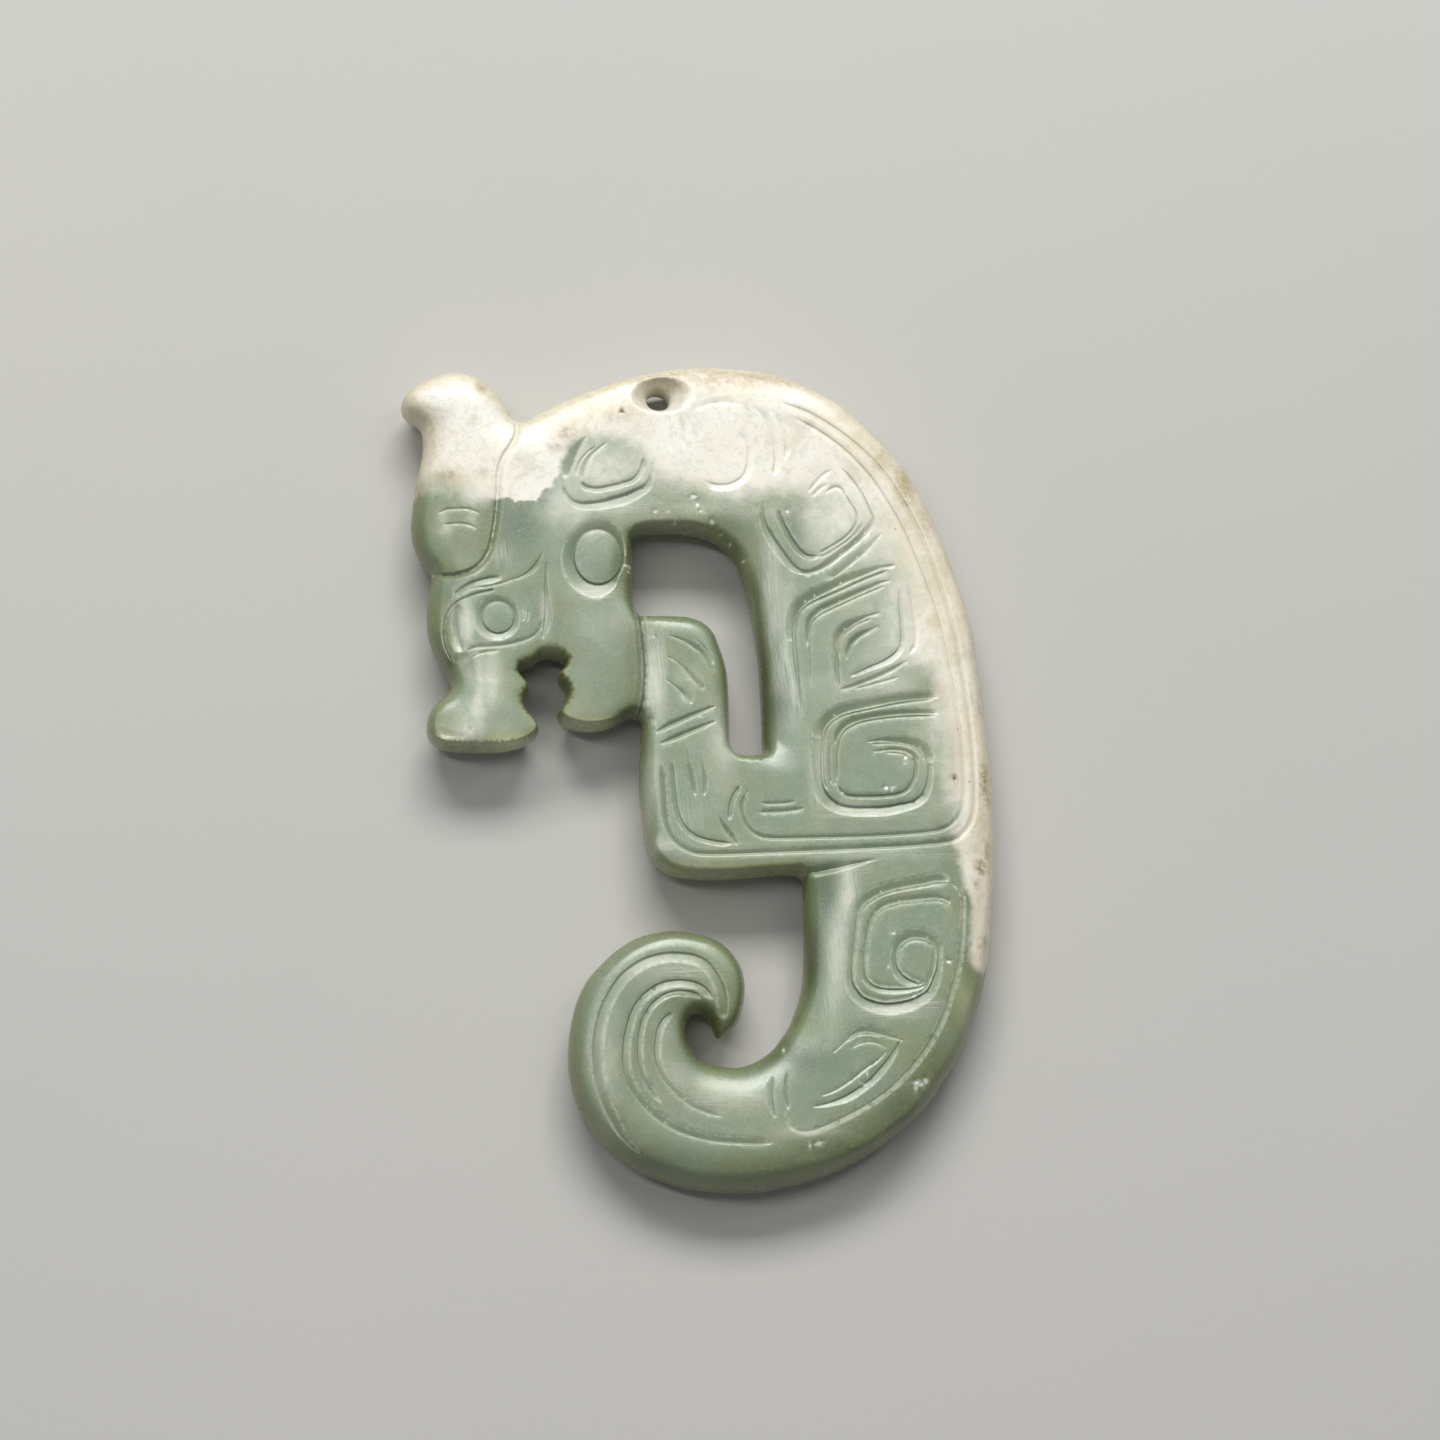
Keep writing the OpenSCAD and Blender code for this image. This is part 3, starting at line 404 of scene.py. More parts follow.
RIM_GAP = 0.2
outline = spaced(smooth(EDGE, 6, True), RIM_GAP, True)
opening = spaced(smooth(WINDOW, 6, True), RIM_GAP, True)
REACH = 5.2
within = np.where(inside([outline, opening]), 1.0, -1.0).astype(np.float32)
rim = np.full((NY, NX), REACH, np.float32)
for loop in (outline, opening):
    w, q, _, _, _ = from_run(loop, REACH, True)
    rim[w] = np.minimum(rim[w], q)
rim = rim * within
RUN, DROP, ROUND, HALF, BACK = spread(FORM, [2, 3, 4, 5, 6])
rim_soft = blur(np.maximum(rim, 0), 0.45)
drop = blur(DROP * np.clip(1 - rim_soft / RUN, 0, 1) ** 2, 0.22)
swell = np.exp(-((gx[None, :] + 17.8) / 3.4) ** 2 - ((gy[:, None] - 18.2) / 5.0) ** 2)
swell = np.maximum(swell, np.exp(-((gx[None, :] - 5.9) / 2.0) ** 2 - ((gy[:, None] - 1.4) / 1.6) ** 2))
drop = drop * (1 - swell) + blur(drop, 0.8) * swell

BEVELS = ("horn_edge", "jaw_seam", "f_under")
SHY = {"horn_edge": 0.26, "jaw_seam": 0.30, "f_under": 0.42, "nose": 9.0, "plate_r": 0.10, "plate_l": 0.10}   # mm of depth that leave no tool mark
DEEPER = 1.35                              # the charted depths are for the faintest reading of the photograph
cut = np.zeros((NY, NX), np.float32)
marks = np.zeros((NY, NX), np.float32)      # the cut lines alone, without the soft steps
rows = []                                  # where the mesh follows the carving: points, and how close to each other
for name, c in LINES.items():
    given = len(c["pts"][0]) == 3
    chart = np.array([p if given else (p[0], p[1], abs(c["flank"])) for p in c["pts"]], float)
    run = spaced(np.array([(*to_mm(x, y), max(v, 0.5) * PX) for x, y, v in smooth(chart, 5)]), 0.17)
    run, width = run[:, :2], run[:, 2]
    widest, steep, beside = width.max(), c["steep"] * PX, c["beside"] * PX
    w, dist, side, along, total = from_run(run, max(widest, steep, beside + 0.2) + 0.12)
    s = dist * side * np.sign(c["flank"])
    f0, f1 = (v * PX for v in c["fade"])
    fade = ramp(along / f0) * ramp((total - along) / f1)
    sa = np.concatenate([[0], np.cumsum(np.hypot(*np.diff(run, axis=0).T))])
    there = np.interp(along, sa, width)
    deep = fade * (np.maximum(0.45, (there / widest) ** 0.75) if given else 1.0)
    wide = 1.0 if given else 0.35 + 0.65 * fade
    t = np.where(s >= 0, s / (there * wide), -s / (steep * wide))
    if name in BEVELS:
        d = np.where(s >= 0, 1 - np.sqrt(np.clip(1 - np.clip(1 - t, 0, 1) ** 2, 0, 1)), np.clip(1 - t, 0, 1) ** 1.6)
    else:
        d = np.where(s >= 0, np.clip(1 - t, 0, 1) ** c["curve"], np.maximum(np.clip(1 - t, 0, 1), c["step"]))
    d = d * c["depth"] * deep * (1.0 if name in BEVELS or c["step"] else DEEPER)
    if c["beside"]:
        d = np.maximum(d, np.clip(1 - np.abs(s + beside) / 0.11, 0, 1) * c["beside_depth"] * DEEPER * fade)
    d = np.where(dist < 1e8, d, 0).astype(np.float32)
    cut[w] = np.maximum(cut[w], d)
    marks[w] = np.maximum(marks[w], d - SHY.get(name, 0.0))
    # rows of mesh points along this line
    tang = np.gradient(run, axis=0)
    tang /= np.hypot(*tang.T)[:, None] + 1e-12
    left = np.column_stack([-tang[:, 1], tang[:, 0]]) * np.sign(c["flank"])
    fa = ramp(sa / f0) * ramp((sa[-1] - sa) / f1)
    live = fa > 0.03
    wa = np.ones((len(run), 1)) if given else (0.35 + 0.65 * fa)[:, None]
    wf = width[:, None] * wa
    rows.append((0, run))
    rows.append((1, (run + left * 0.045)[live]))
    rows.append((1, (run + left * (wf + 0.04))[live]))
    rows.append((1, (run + left * np.maximum(wf - 0.05, 0.5 * wf))[live & (wf[:, 0] > 0.12)]))
    if not c["step"]:
        rows.append((1, (run - left * (steep * wa + 0.03))[live]))
        rows.append((1, (run - left * steep * 0.5 * wa)[live]))
    if c["depth"] > 0.12:
        rows.append((2, (run + left * wf * 0.5)[live & (wf[:, 0] > 0.25)]))
    if steep > 0.25 and not c["step"]:
        rows.append((2, (run - left * steep * 0.25 * wa)[live]))
        rows.append((2, (run - left * steep * 0.75 * wa)[live]))
    if beside:
        for off in (-0.12, 0.0, 0.12):
            rows.append((1, (run - left * (beside + off))[live]))

for (cx, cy), (rx, ry), ring_depth, slope_depth, dome, outer in DISCS:
    mx, my = to_mm(cx, cy)
    x, y = (gx[None, :] - mx) / (rx * PX), (gy[:, None] - my) / (ry * PX)
    r = np.hypot(x, y)
    angles, widths = np.array([o[0] for o in outer] + [360]), np.array([o[1] for o in outer] + [outer[0][1]])
    flank = np.interp(np.degrees(np.arctan2(y, x)) % 360, angles, widths) * PX
    off = (r - 1) * 0.5 * (rx + ry) * PX
    d = np.where(off >= 0, np.clip(1 - off / flank, 0, 1) ** 1.1 * slope_depth * np.clip(flank / 0.4, 0, 1), dome * np.clip(r, 0, 1) ** 2.5)
    d = np.maximum(d, ring_depth * np.clip(1 - np.abs(off) / 0.14, 0, 1))
    cut = np.maximum(cut, d.astype(np.float32))
    marks = np.maximum(marks, np.where(off >= 0, d, ring_depth * np.clip(1 - np.abs(off) / 0.14, 0, 1)).astype(np.float32))
    turn = np.linspace(0, 2 * math.pi, int(2 * math.pi * rx * PX / 0.12), endpoint=False)
    for add, level in ((0.0, 0), (-0.07, 0), (0.07, 0), (-0.16, 1), (0.16, 1), (-0.5, 2), (-0.9, 2), (0.5, 2)):
        rows.append((level, np.column_stack([mx + np.cos(turn) * (rx * PX + add), my + np.sin(turn) * (ry * PX + add)])))
    shoulder = np.interp(np.degrees(turn), angles, widths) * PX
    for add in (-0.05, 0.05):
        rows.append((1, np.column_stack([mx + np.cos(turn) * (rx * PX + shoulder + add), my + np.sin(turn) * (ry * PX + shoulder + add)])))

for i, (px, py, pr, depth) in enumerate(CHIPS):
    mx, my = to_mm(px, py)
    r = np.hypot((gx[None, :] - mx) / (1 + 0.25 * math.sin(i * 2.1)), (gy[:, None] - my) / (1 - 0.25 * math.sin(i * 2.1))) / (pr * PX)
    cut += (depth * np.clip(1 - r * r, 0, 1)).astype(np.float32)
    for k, level in ((0.0, 0), (0.55, 1), (1.0, 1)):
        turn = np.linspace(0, 2 * math.pi, 1 if k == 0 else 7, endpoint=False) + i
        rows.append((level, np.column_stack([mx + np.cos(turn) * pr * PX * k, my + np.sin(turn) * pr * PX * k])))

cut = blur(cut, 0.02)

# hand grinding leaves the faces slightly uneven
wave = np.zeros((NY, NX), np.float32)
for ax, ay, phase, size in ((0.9, 0.5, 0.3, 1.0), (-0.6, 1.1, 1.9, 0.9), (1.6, -0.8, 4.0, 0.55), (0.4, 1.9, 2.6, 0.5), (2.3, 1.4, 5.1, 0.3), (-1.9, 2.4, 0.8, 0.25)):
    wave += np.float32(size) * np.sin(ax * gx[None, :] + ay * gy[:, None] + phase)
body = HALF - drop - cut - 0.012 * (wave + 3.5) * 0.5
body = np.clip(body, 0.3, MID)

# the drilled hole: a round waist, opening to an oval mouth a little above it
WAIST = np.array((-3.15, 29.01))
NECK, BORE = 0.8, 0.85
mouth = np.array(to_mm(660, 393.5, 5.3))
MOUTH_R = np.array((2.1, 1.5))
hole_patch = patch(WAIST[0] - 3.4, WAIST[1] - 3.4, WAIST[0] + 3.4, WAIST[1] + 3.4)
HX, HY = np.meshgrid(gx[hole_patch[1]], gy[hole_patch[0]])


def hole_height(x, y):
    """Half height of the drilled hole's wall over a point outside its waist."""
    span = MID - 0.15 - NECK
    lo, hi = np.zeros_like(x, float), np.full_like(x, 4.0, float)
    for _ in range(26):
        q = (lo + hi) / 2
        ax, ay = BORE + (MOUTH_R[0] - BORE) * q / span, BORE + (MOUTH_R[1] - BORE) * q / span
        cx, cy = WAIST[0] + (mouth[0] - WAIST[0]) * q / span, WAIST[1] + (mouth[1] - WAIST[1]) * q / span
        out = ((x - cx) / ax) ** 2 + ((y - cy) / ay) ** 2 > 1
        lo, hi = np.where(out, q, lo), np.where(out, hi, q)
    rho = np.hypot(x - WAIST[0], y - WAIST[1])
    t = np.clip((rho - BORE) / 0.16, 0, 1)
    return np.where(rho > BORE, NECK * np.sqrt(2 * t - t * t) + span * (lo / span) ** 0.52, (rho - BORE)), rho


height, rho = hole_height(HX, HY)
hole_u = np.full((NY, NX), 99.0, np.float32)
hole_u[hole_patch] = np.where(rho > BORE, height ** 2, (rho - BORE) * 8.0)

# ---------------------------------------------------------------------------------------------------------------
# Tones of the stone
# ---------------------------------------------------------------------------------------------------------------
# The edge of the chalk-white zone: x, y (px) and how softly it ends there (mm)
CHALK = [
    (390, 350, 1.0), (390, 476, 1.3), (412, 481, 1.3), (428, 485, 1.3), (444, 483, 1.4), (458, 488, 1.4), (468, 497, 1.4), (480, 500, 1.1), (490, 499, 0.5),
    (497, 499, 0.12), (505, 498, 0.1), (510, 498, 0.1), (514, 503, 0.1), (520, 501, 0.1), (530, 500, 0.1), (537, 502, 0.1), (540, 493, 0.1), (545, 488, 0.12), (551, 489, 0.15),
    (553, 482, 0.2), (558, 478, 0.2), (559, 468, 0.25), (563, 457, 0.3), (569, 446, 0.4), (582, 440, 0.6), (600, 437, 0.8), (622, 441, 1.0),
    (641, 452, 1.0), (654, 466, 0.9), (668, 478, 0.8), (688, 484, 1.0), (706, 492, 1.0), (730, 496, 1.0), (752, 496, 1.1), (772, 493, 1.1), (790, 493, 1.2), (806, 491, 1.7),
    (824, 495, 2.1), (845, 503, 2.2), (864, 518, 2.2), (880, 538, 2.0), (893, 563, 1.7), (903, 594, 1.3), (909, 625, 0.8), (906, 645, 0.9), (908, 658, 0.8), (922, 664, 0.9), (932, 670, 1.1), (937, 690, 1.3), (938, 712, 1.6), (946, 732, 1.6), (949, 755, 1.5),
    (948, 778, 1.2), (951, 800, 1.1), (957, 815, 0.9), (956, 832, 0.7), (957, 850, 0.6), (961, 872, 0.4), (966, 888, 0.3), (972, 905, 0.3),
    (972, 930, 0.4), (970, 950, 0.4), (974, 966, 0.4), (984, 972, 0.5), (1010, 975, 0.6), (1040, 960, 1.0), (1040, 350, 1.0)]

# Patches of tone: kind, x, y, half width and half height (px), strength. Several kinds paint light and shade as colour:
# the pale, frost and swept patches are partly the stone's own colour and partly painted satin highlights on slopes that
# face a lamp, the olive and deep patches are partly the stone's own colour and partly painted shade on slopes and rims
# that face away from the lamps, and the lit patches are painted light on walls that face down.
TINTS = [
    ("olive_and_shade", 417, 525, 13, 42, 0.95), ("olive_and_shade", 487, 530, 13, 42, 0.95), ("olive_and_shade", 450, 570, 40, 12, 0.8), ("olive_and_shade", 455, 540, 30, 30, 0.35),
    ("olive_and_shade", 435, 640, 12, 75, 0.6), ("olive_and_shade", 440, 742, 18, 18, 0.7), ("olive_and_shade", 512, 748, 30, 9, 0.2), ("olive_and_shade", 634, 670, 13, 60, 0.7),
    ("olive_and_shade", 600, 727, 40, 10, 0.4), ("olive_and_shade", 630, 562, 9, 40, 0.95), ("olive_and_shade", 655, 518, 60, 12, 0.5), ("olive_and_shade", 700, 522, 45, 10, 0.4), ("olive_and_shade", 617, 562, 7, 22, 0.8), ("olive_and_shade", 742, 730, 10, 46, 0.5), ("olive_and_shade", 722, 690, 9, 40, 0.6),
    ("olive_and_shade", 757, 600, 11, 120, 0.6), ("olive_and_shade", 760, 690, 12, 60, 0.6), ("olive_and_shade", 720, 874, 90, 10, 0.3), ("olive_and_shade", 652, 855, 14, 26, 0.6),
    ("olive_and_shade", 962, 1015, 24, 50, 0.7), ("olive_and_shade", 938, 1075, 34, 40, 1.0), ("olive_and_shade", 890, 1135, 45, 28, 0.95), ("olive_and_shade", 800, 1172, 110, 18, 0.9),
    ("olive_and_shade", 968, 975, 11, 34, 0.9), ("olive_and_shade", 930, 682, 9, 20, 0.8), ("olive_and_shade", 941, 815, 9, 30, 0.8), ("olive_and_shade", 954, 858, 13, 24, 0.55),
    ("olive_and_shade", 961, 897, 12, 12, 0.85), ("olive_and_shade", 576, 1060, 9, 80, 0.55), ("olive_and_shade", 732, 1003, 13, 34, 0.8), ("olive_and_shade", 640, 1155, 40, 16, 0.5),
    ("olive_and_shade", 668, 488, 22, 12, 0.5), ("olive_and_shade", 805, 930, 9, 60, 0.45), ("olive_and_shade", 565, 640, 14, 40, 0.3),
    ("pale_and_highlight", 612, 462, 30, 24, 0.75), ("pale_and_highlight", 575, 512, 24, 18, 0.7), ("pale_and_highlight", 600, 505, 40, 10, 0.55), ("pale_and_highlight", 838, 520, 34, 48, 0.95), ("pale_and_highlight", 850, 480, 40, 24, 0.9), ("pale_and_highlight", 772, 512, 16, 16, 0.3),
    ("pale_and_highlight", 875, 590, 46, 50, 0.42), ("pale_and_highlight", 880, 540, 34, 40, 0.9), ("pale_and_highlight", 900, 620, 26, 60, 0.85), ("pale_and_highlight", 888, 680, 30, 18, 0.6),
    ("pale_and_highlight", 935, 745, 26, 34, 0.4), ("pale_and_highlight", 600, 625, 26, 18, 0.28), ("pale_and_highlight", 588, 556, 14, 22, 0.05), ("pale_and_highlight", 640, 500, 26, 8, 0.35), ("pale_and_highlight", 945, 800, 20, 30, 0.3),
    ("pale_and_highlight", 720, 510, 60, 8, 0.4), ("pale_and_highlight", 470, 520, 22, 14, 0.08), ("pale_and_highlight", 850, 690, 60, 20, 0.25), ("pale_and_highlight", 700, 1110, 90, 26, 0.08), ("pale_and_highlight", 690, 820, 40, 40, 0.03),
    ("tan", 440, 384, 44, 9, 0.55), ("tan", 482, 386, 11, 9, 0.9), ("tan", 410, 410, 10, 12, 0.5), ("tan", 512, 428, 9, 22, 0.4), ("tan", 560, 428, 22, 12, 0.55),
    ("tan", 622, 402, 26, 20, 0.6), ("tan", 600, 385, 60, 7, 0.4), ("tan", 735, 386, 66, 12, 0.65), ("tan", 840, 415, 40, 18, 0.6), ("tan", 885, 462, 26, 28, 0.7),
    ("tan", 915, 520, 22, 36, 0.75), ("tan", 905, 515, 30, 26, 0.5), ("tan", 938, 575, 20, 46, 0.7), ("tan", 936, 622, 10, 12, 0.8), ("tan", 958, 640, 18, 50, 0.6),
    ("tan", 950, 690, 16, 22, 0.45), ("tan", 975, 720, 14, 50, 0.6), ("tan", 984, 800, 13, 60, 0.75), ("tan", 978, 900, 14, 40, 0.6), ("tan", 982, 945, 9, 26, 0.7),
    ("tan", 905, 560, 22, 50, 0.45), ("tan", 790, 440, 20, 16, 0.25), ("tan", 660, 380, 30, 8, 0.4),
    ("stain", 567, 432, 9, 8, 0.5), ("stain", 556, 448, 8, 5, 0.4), ("stain", 985, 778, 3.5, 15, 0.9), ("stain", 988, 797, 3, 8, 0.7), ("stain", 981, 868, 4, 8, 0.95),
    ("stain", 988, 852, 3, 10, 0.7), ("stain", 622, 412, 2.2, 2.2, 1.0), ("stain", 954, 779, 2.6, 2.6, 1.0), ("stain", 977, 884, 2.5, 3, 0.6), ("stain", 450, 474, 7, 5, 0.45),
    ("stain", 484, 473, 4, 4, 0.5), ("stain", 906, 503, 5, 6, 0.5), ("stain", 613, 418, 7, 4, 0.3), ("stain", 716, 403, 4, 3, 0.4), ("stain", 760, 388, 6, 4, 0.3),
    ("stain", 808, 424, 4, 3, 0.35), ("stain", 880, 466, 6, 5, 0.35), ("stain", 986, 942, 3, 8, 0.5), ("stain", 981, 710, 3, 8, 0.5), ("stain", 482, 385, 6, 4, 0.4),
    ("tan", 980, 830, 16, 70, 0.6), ("tan", 965, 600, 16, 70, 0.6), ("tan", 925, 500, 26, 60, 0.6), ("tan", 860, 425, 50, 22, 0.5),
    ("pale_and_highlight", 600, 470, 45, 34, 0.9), ("pale_and_highlight", 640, 470, 20, 25, 0.8), ("pale_and_highlight", 560, 505, 18, 20, 0.75), ("pale_and_highlight", 672, 486, 22, 14, 0.5), ("pale_and_highlight", 443, 517, 5, 7, 0.5),
    ("pale_and_highlight", 471, 519, 6, 9, 0.4), ("pale_and_highlight", 446, 530, 6, 4, 0.6), ("pale_and_highlight", 850, 620, 60, 50, 0.18), ("pale_and_highlight", 885, 655, 26, 30, 0.55), ("pale_and_highlight", 722, 745, 14, 44, 0.45),
    ("pale_and_highlight", 672, 1070, 14, 26, 0.2), ("pale_and_highlight", 730, 1100, 50, 16, 0.25), ("pale_and_highlight", 655, 682, 9, 34, 0.7), ("pale_and_highlight", 465, 624, 7.5, 23, 1.0), ("pale_and_highlight", 480, 695, 7, 44, 0.8), ("pale_and_highlight", 466, 725, 10, 16, 0.5),
    ("pale_and_highlight", 650, 790, 7, 40, 0.5), ("pale_and_highlight", 665, 845, 16, 9, 0.45), ("pale_and_highlight", 607, 1060, 12, 60, 0.3), ("pale_and_highlight", 660, 970, 34, 10, 0.3), ("pale_and_highlight", 650, 518, 50, 8, 0.25),
    ("tan", 722, 379, 90, 10, 0.95), ("tan", 592, 408, 34, 12, 0.8), ("tan", 905, 484, 15, 34, 1.0), ("tan", 880, 455, 16, 16, 0.8), ("tan", 660, 383, 34, 7, 0.7),
    ("deep", 449, 632, 4.5, 30, 0.8), ("deep", 450, 597, 8, 9, 0.6), ("deep", 690, 1060, 12, 26, 0.45), ("deep", 765, 680, 6, 60, 1.0), ("olive_and_shade", 906, 1106, 22, 22, 1.0),
    ("olive_and_shade", 628, 545, 8, 30, 0.6), ("deep", 600, 540, 10, 12, 0.3), ("pale_and_highlight", 845, 500, 40, 30, 0.9),
    ("deep", 828, 902, 9, 28, 0.9), ("deep", 818, 958, 11, 36, 1.0), ("deep", 800, 1058, 28, 14, 0.7), ("deep", 782, 706, 6, 30, 0.5), ("deep", 762, 640, 5, 70, 0.5),
    ("deep", 520, 525, 22, 25, 0.7), ("deep", 545, 500, 8, 12, 0.9), ("deep", 505, 520, 7, 22, 0.6), ("deep", 568, 462, 6, 16, 0.5), ("deep", 545, 507, 8, 14, 0.6),
    ("deep", 797, 530, 12, 24, 0.85), ("deep", 780, 520, 16, 10, 0.4), ("deep", 540, 600, 8, 40, 0.35), ("deep", 600, 640, 40, 16, 0.3), ("deep", 560, 640, 14, 30, 0.35),
    ("frost_and_highlight", 655, 677, 8, 42, 1.0), ("frost_and_highlight", 770, 555, 10, 16, 0.7), ("frost_and_highlight", 770, 587, 9, 25, 0.85), ("frost_and_highlight", 777, 622, 9, 25, 0.9), ("frost_and_highlight", 785, 660, 9, 28, 0.9),
    ("frost_and_highlight", 793, 697, 8, 25, 0.85), ("frost_and_highlight", 813, 768, 5, 34, 0.9), ("frost_and_highlight", 834, 665, 4, 24, 0.7), ("frost_and_highlight", 851, 880, 6, 12, 0.9), ("frost_and_highlight", 843, 902, 4, 16, 0.9), ("frost_and_highlight", 838, 930, 3.5, 22, 0.9), ("frost_and_highlight", 834, 962, 4.5, 24, 0.8), ("frost_and_highlight", 830, 1000, 7, 18, 0.7), ("frost_and_highlight", 503, 556, 9, 10, 0.8), ("frost_and_highlight", 548, 612, 3, 20, 0.8), ("frost_and_highlight", 525, 614, 3.5, 8, 0.8), ("frost_and_highlight", 565, 492, 9, 22, 0.5), ("frost_and_highlight", 690, 820, 16, 40, 0.25),
    ("swept_and_highlight", 862, 813, 45, 5, 0.9), ("swept_and_highlight", 893, 1010, 28, 6, 0.9), ("swept_and_highlight", 930, 1003, 10, 8, 0.7), ("swept_and_highlight", 615, 507, 35, 6, 0.8), ("swept_and_highlight", 590, 592, 20, 8, 0.7),
    ("swept_and_highlight", 875, 853, 80, 4, 0.7), ("swept_and_highlight", 850, 868, 14, 4, 0.8), ("swept_and_highlight", 730, 1100, 40, 12, 0.25), ("swept_and_highlight", 680, 1080, 18, 20, 0.2), ("swept_and_highlight", 690, 970, 25, 8, 0.6),
    ("swept_and_highlight", 680, 988, 22, 5, 0.6), ("swept_and_highlight", 735, 849, 90, 5, 0.4),
    ("olive_and_shade", 450, 636, 6, 30, 0.7), ("deep", 612, 690, 30, 30, 0.35), ("deep", 634, 660, 9, 40, 0.95), ("deep", 617, 565, 7, 18, 0.95), ("deep", 590, 560, 16, 22, 0.25),
    ("pale_and_highlight", 820, 520, 20, 22, 0.95), ("deep", 690, 650, 14, 16, 0.4), ("deep", 780, 700, 9, 20, 1.0), ("deep", 860, 640, 16, 14, 0.6), ("deep", 655, 640, 8, 10, 0.6),
    ("stain", 905, 484, 12, 26, 0.34), ("stain", 885, 458, 14, 12, 0.2), ("stain", 925, 525, 10, 20, 0.2), ("stain", 720, 379, 80, 8, 0.55), ("stain", 620, 396, 40, 8, 0.14), ("stain", 985, 850, 8, 30, 0.12),
    ("lit", 450, 742, 22, 13, 0.36), ("lit", 512, 744, 26, 11, 0.95), ("lit", 592, 727, 40, 10, 0.85), ("lit", 700, 872, 70, 9, 0.55), ("lit", 780, 868, 30, 7, 0.35),
    ("lit", 655, 520, 40, 9, 0.2), ("lit", 700, 522, 34, 10, 0.25), ("lit", 573, 690, 8, 26, 0.08), ("lit", 964, 1003, 10, 24, 0.35), ("lit", 750, 560, 8, 20, 0.25),
    ("pale_and_highlight", 912, 560, 16, 30, 0.6), ("pale_and_highlight", 915, 610, 12, 30, 0.6),
    ("pale_and_highlight", 936, 735, 20, 50, 0.45), ("tan", 958, 760, 14, 70, 0.5), ("olive_and_shade", 640, 1060, 70, 110, 0.32), ("deep", 786, 757, 14, 6, 0.3), ("lit", 550, 652, 18, 8, 0.4),
    ("lit", 560, 660, 10, 14, 0.4), ("lit", 570, 700, 8, 14, 0.15), ("olive_and_shade", 452, 520, 38, 34, 0.55), ("olive_and_shade", 455, 500, 30, 12, 0.4), ("deep", 448, 640, 9, 14, 0.55), ("olive_and_shade", 450, 640, 12, 18, 0.5),
    ("pale_and_highlight", 848, 892, 7, 34, 0.75), ("pale_and_highlight", 836, 955, 8, 40, 0.6), ("pale_and_highlight", 805, 1132, 30, 6, 0.3), ("pale_and_highlight", 775, 595, 9, 50, 0.35), ("pale_and_highlight", 690, 676, 12, 8, 0.4),
    ("pale_and_highlight", 686, 697, 6, 6, 0.5), ("pale_and_highlight", 545, 612, 4, 18, 0.8), ("olive_and_shade", 457, 545, 16, 16, 0.75), ("olive_and_shade", 449, 638, 8, 28, 1.0), ("deep", 449, 638, 6, 28, 0.95),
    ("deep", 634, 660, 8, 30, 0.5), ("deep", 800, 1060, 22, 12, 0.95), ("deep", 900, 1110, 20, 20, 1.0), ("deep", 690, 1056, 14, 18, 0.3), ("pale_and_highlight", 668, 1030, 11, 16, 0.28),
    ("pale_and_highlight", 819, 762, 4.5, 32, 0.85), ("olive_and_shade", 860, 1150, 60, 16, 1.0), ("deep", 860, 1152, 50, 10, 0.5), ("deep", 760, 1182, 60, 8, 0.4), ("deep", 655, 1162, 30, 14, 0.4),
    ("pale_and_highlight", 491, 682, 9, 30, 0.9), ("tan", 445, 478, 34, 13, 0.7), ("tan", 560, 418, 26, 14, 0.75), ("tan", 862, 440, 26, 16, 0.75), ("stain", 447, 475, 9, 6, 0.5), ("tan", 690, 484, 20, 9, 0.3), ("pale_and_highlight", 479, 711, 9, 14, 0.9), ("pale_and_highlight", 468, 731, 10, 9, 0.8), ("deep", 530, 592, 10, 8, 0.35),
    ("pale_and_highlight", 790, 620, 6, 60, 0.4), ("pale_and_highlight", 852, 806, 22, 4, 0.5), ("pale_and_highlight", 895, 1012, 26, 5, 0.5), ("pale_and_highlight", 840, 857, 70, 3, 0.35), ("frost_and_highlight", 851, 893, 9, 26, 0.6), ("frost_and_highlight", 840, 940, 8, 34, 0.5)]

# Chips that show white: x, y, radius (px)
NICKS = [
    (787, 512, 1.8), (835, 785, 1.8), (838, 789, 1.6), (842, 793, 1.6), (886, 788, 2.4), (892, 788, 2.0), (905, 758, 2.2), (905, 764, 1.5), (948, 962, 2.2),
    (914, 996, 2.0), (893, 934, 1.8), (888, 967, 1.6), (919, 1083, 4.4), (916, 1088, 2.4), (926, 1081, 3.0), (819, 1144, 3.0), (810, 1146, 2.0), (863, 1084, 2.0),
    (867, 1074, 1.6), (626, 565, 2.0), (630, 566, 1.8), (629, 571, 1.6), (668, 512, 1.6), (675, 522, 1.6), (700, 717, 1.6), 
    (712, 520, 1.8), (722, 532, 1.6), (732, 541, 1.6), (655, 511, 1.6), (654, 636, 1.4), (548, 690, 1.3), (734, 700, 1.4),
    (894, 933, 1.4), (772, 1047, 1.6), (785, 1049, 1.8), (745, 558, 1.6), (693, 496, 2.0), (701, 511, 1.4)]


def toned(kind):
    out = np.zeros((NY, NX), np.float32)
    for k, px, py, rx, ry, strength in TINTS:
        if k == kind:
            mx, my = to_mm(px, py)
            reach_x, reach_y = 2.4 * rx * PX, 2.4 * ry * PX
            w = patch(mx - reach_x, my - reach_y, mx + reach_x, my + reach_y)
            r2 = ((gx[w[1]][None, :] - mx) / (rx * PX)) ** 2 + ((gy[w[0]][:, None] - my) / (ry * PX)) ** 2
            out[w] = np.maximum(out[w], (strength * np.exp(-r2 * 0.9)).astype(np.float32))
    return out


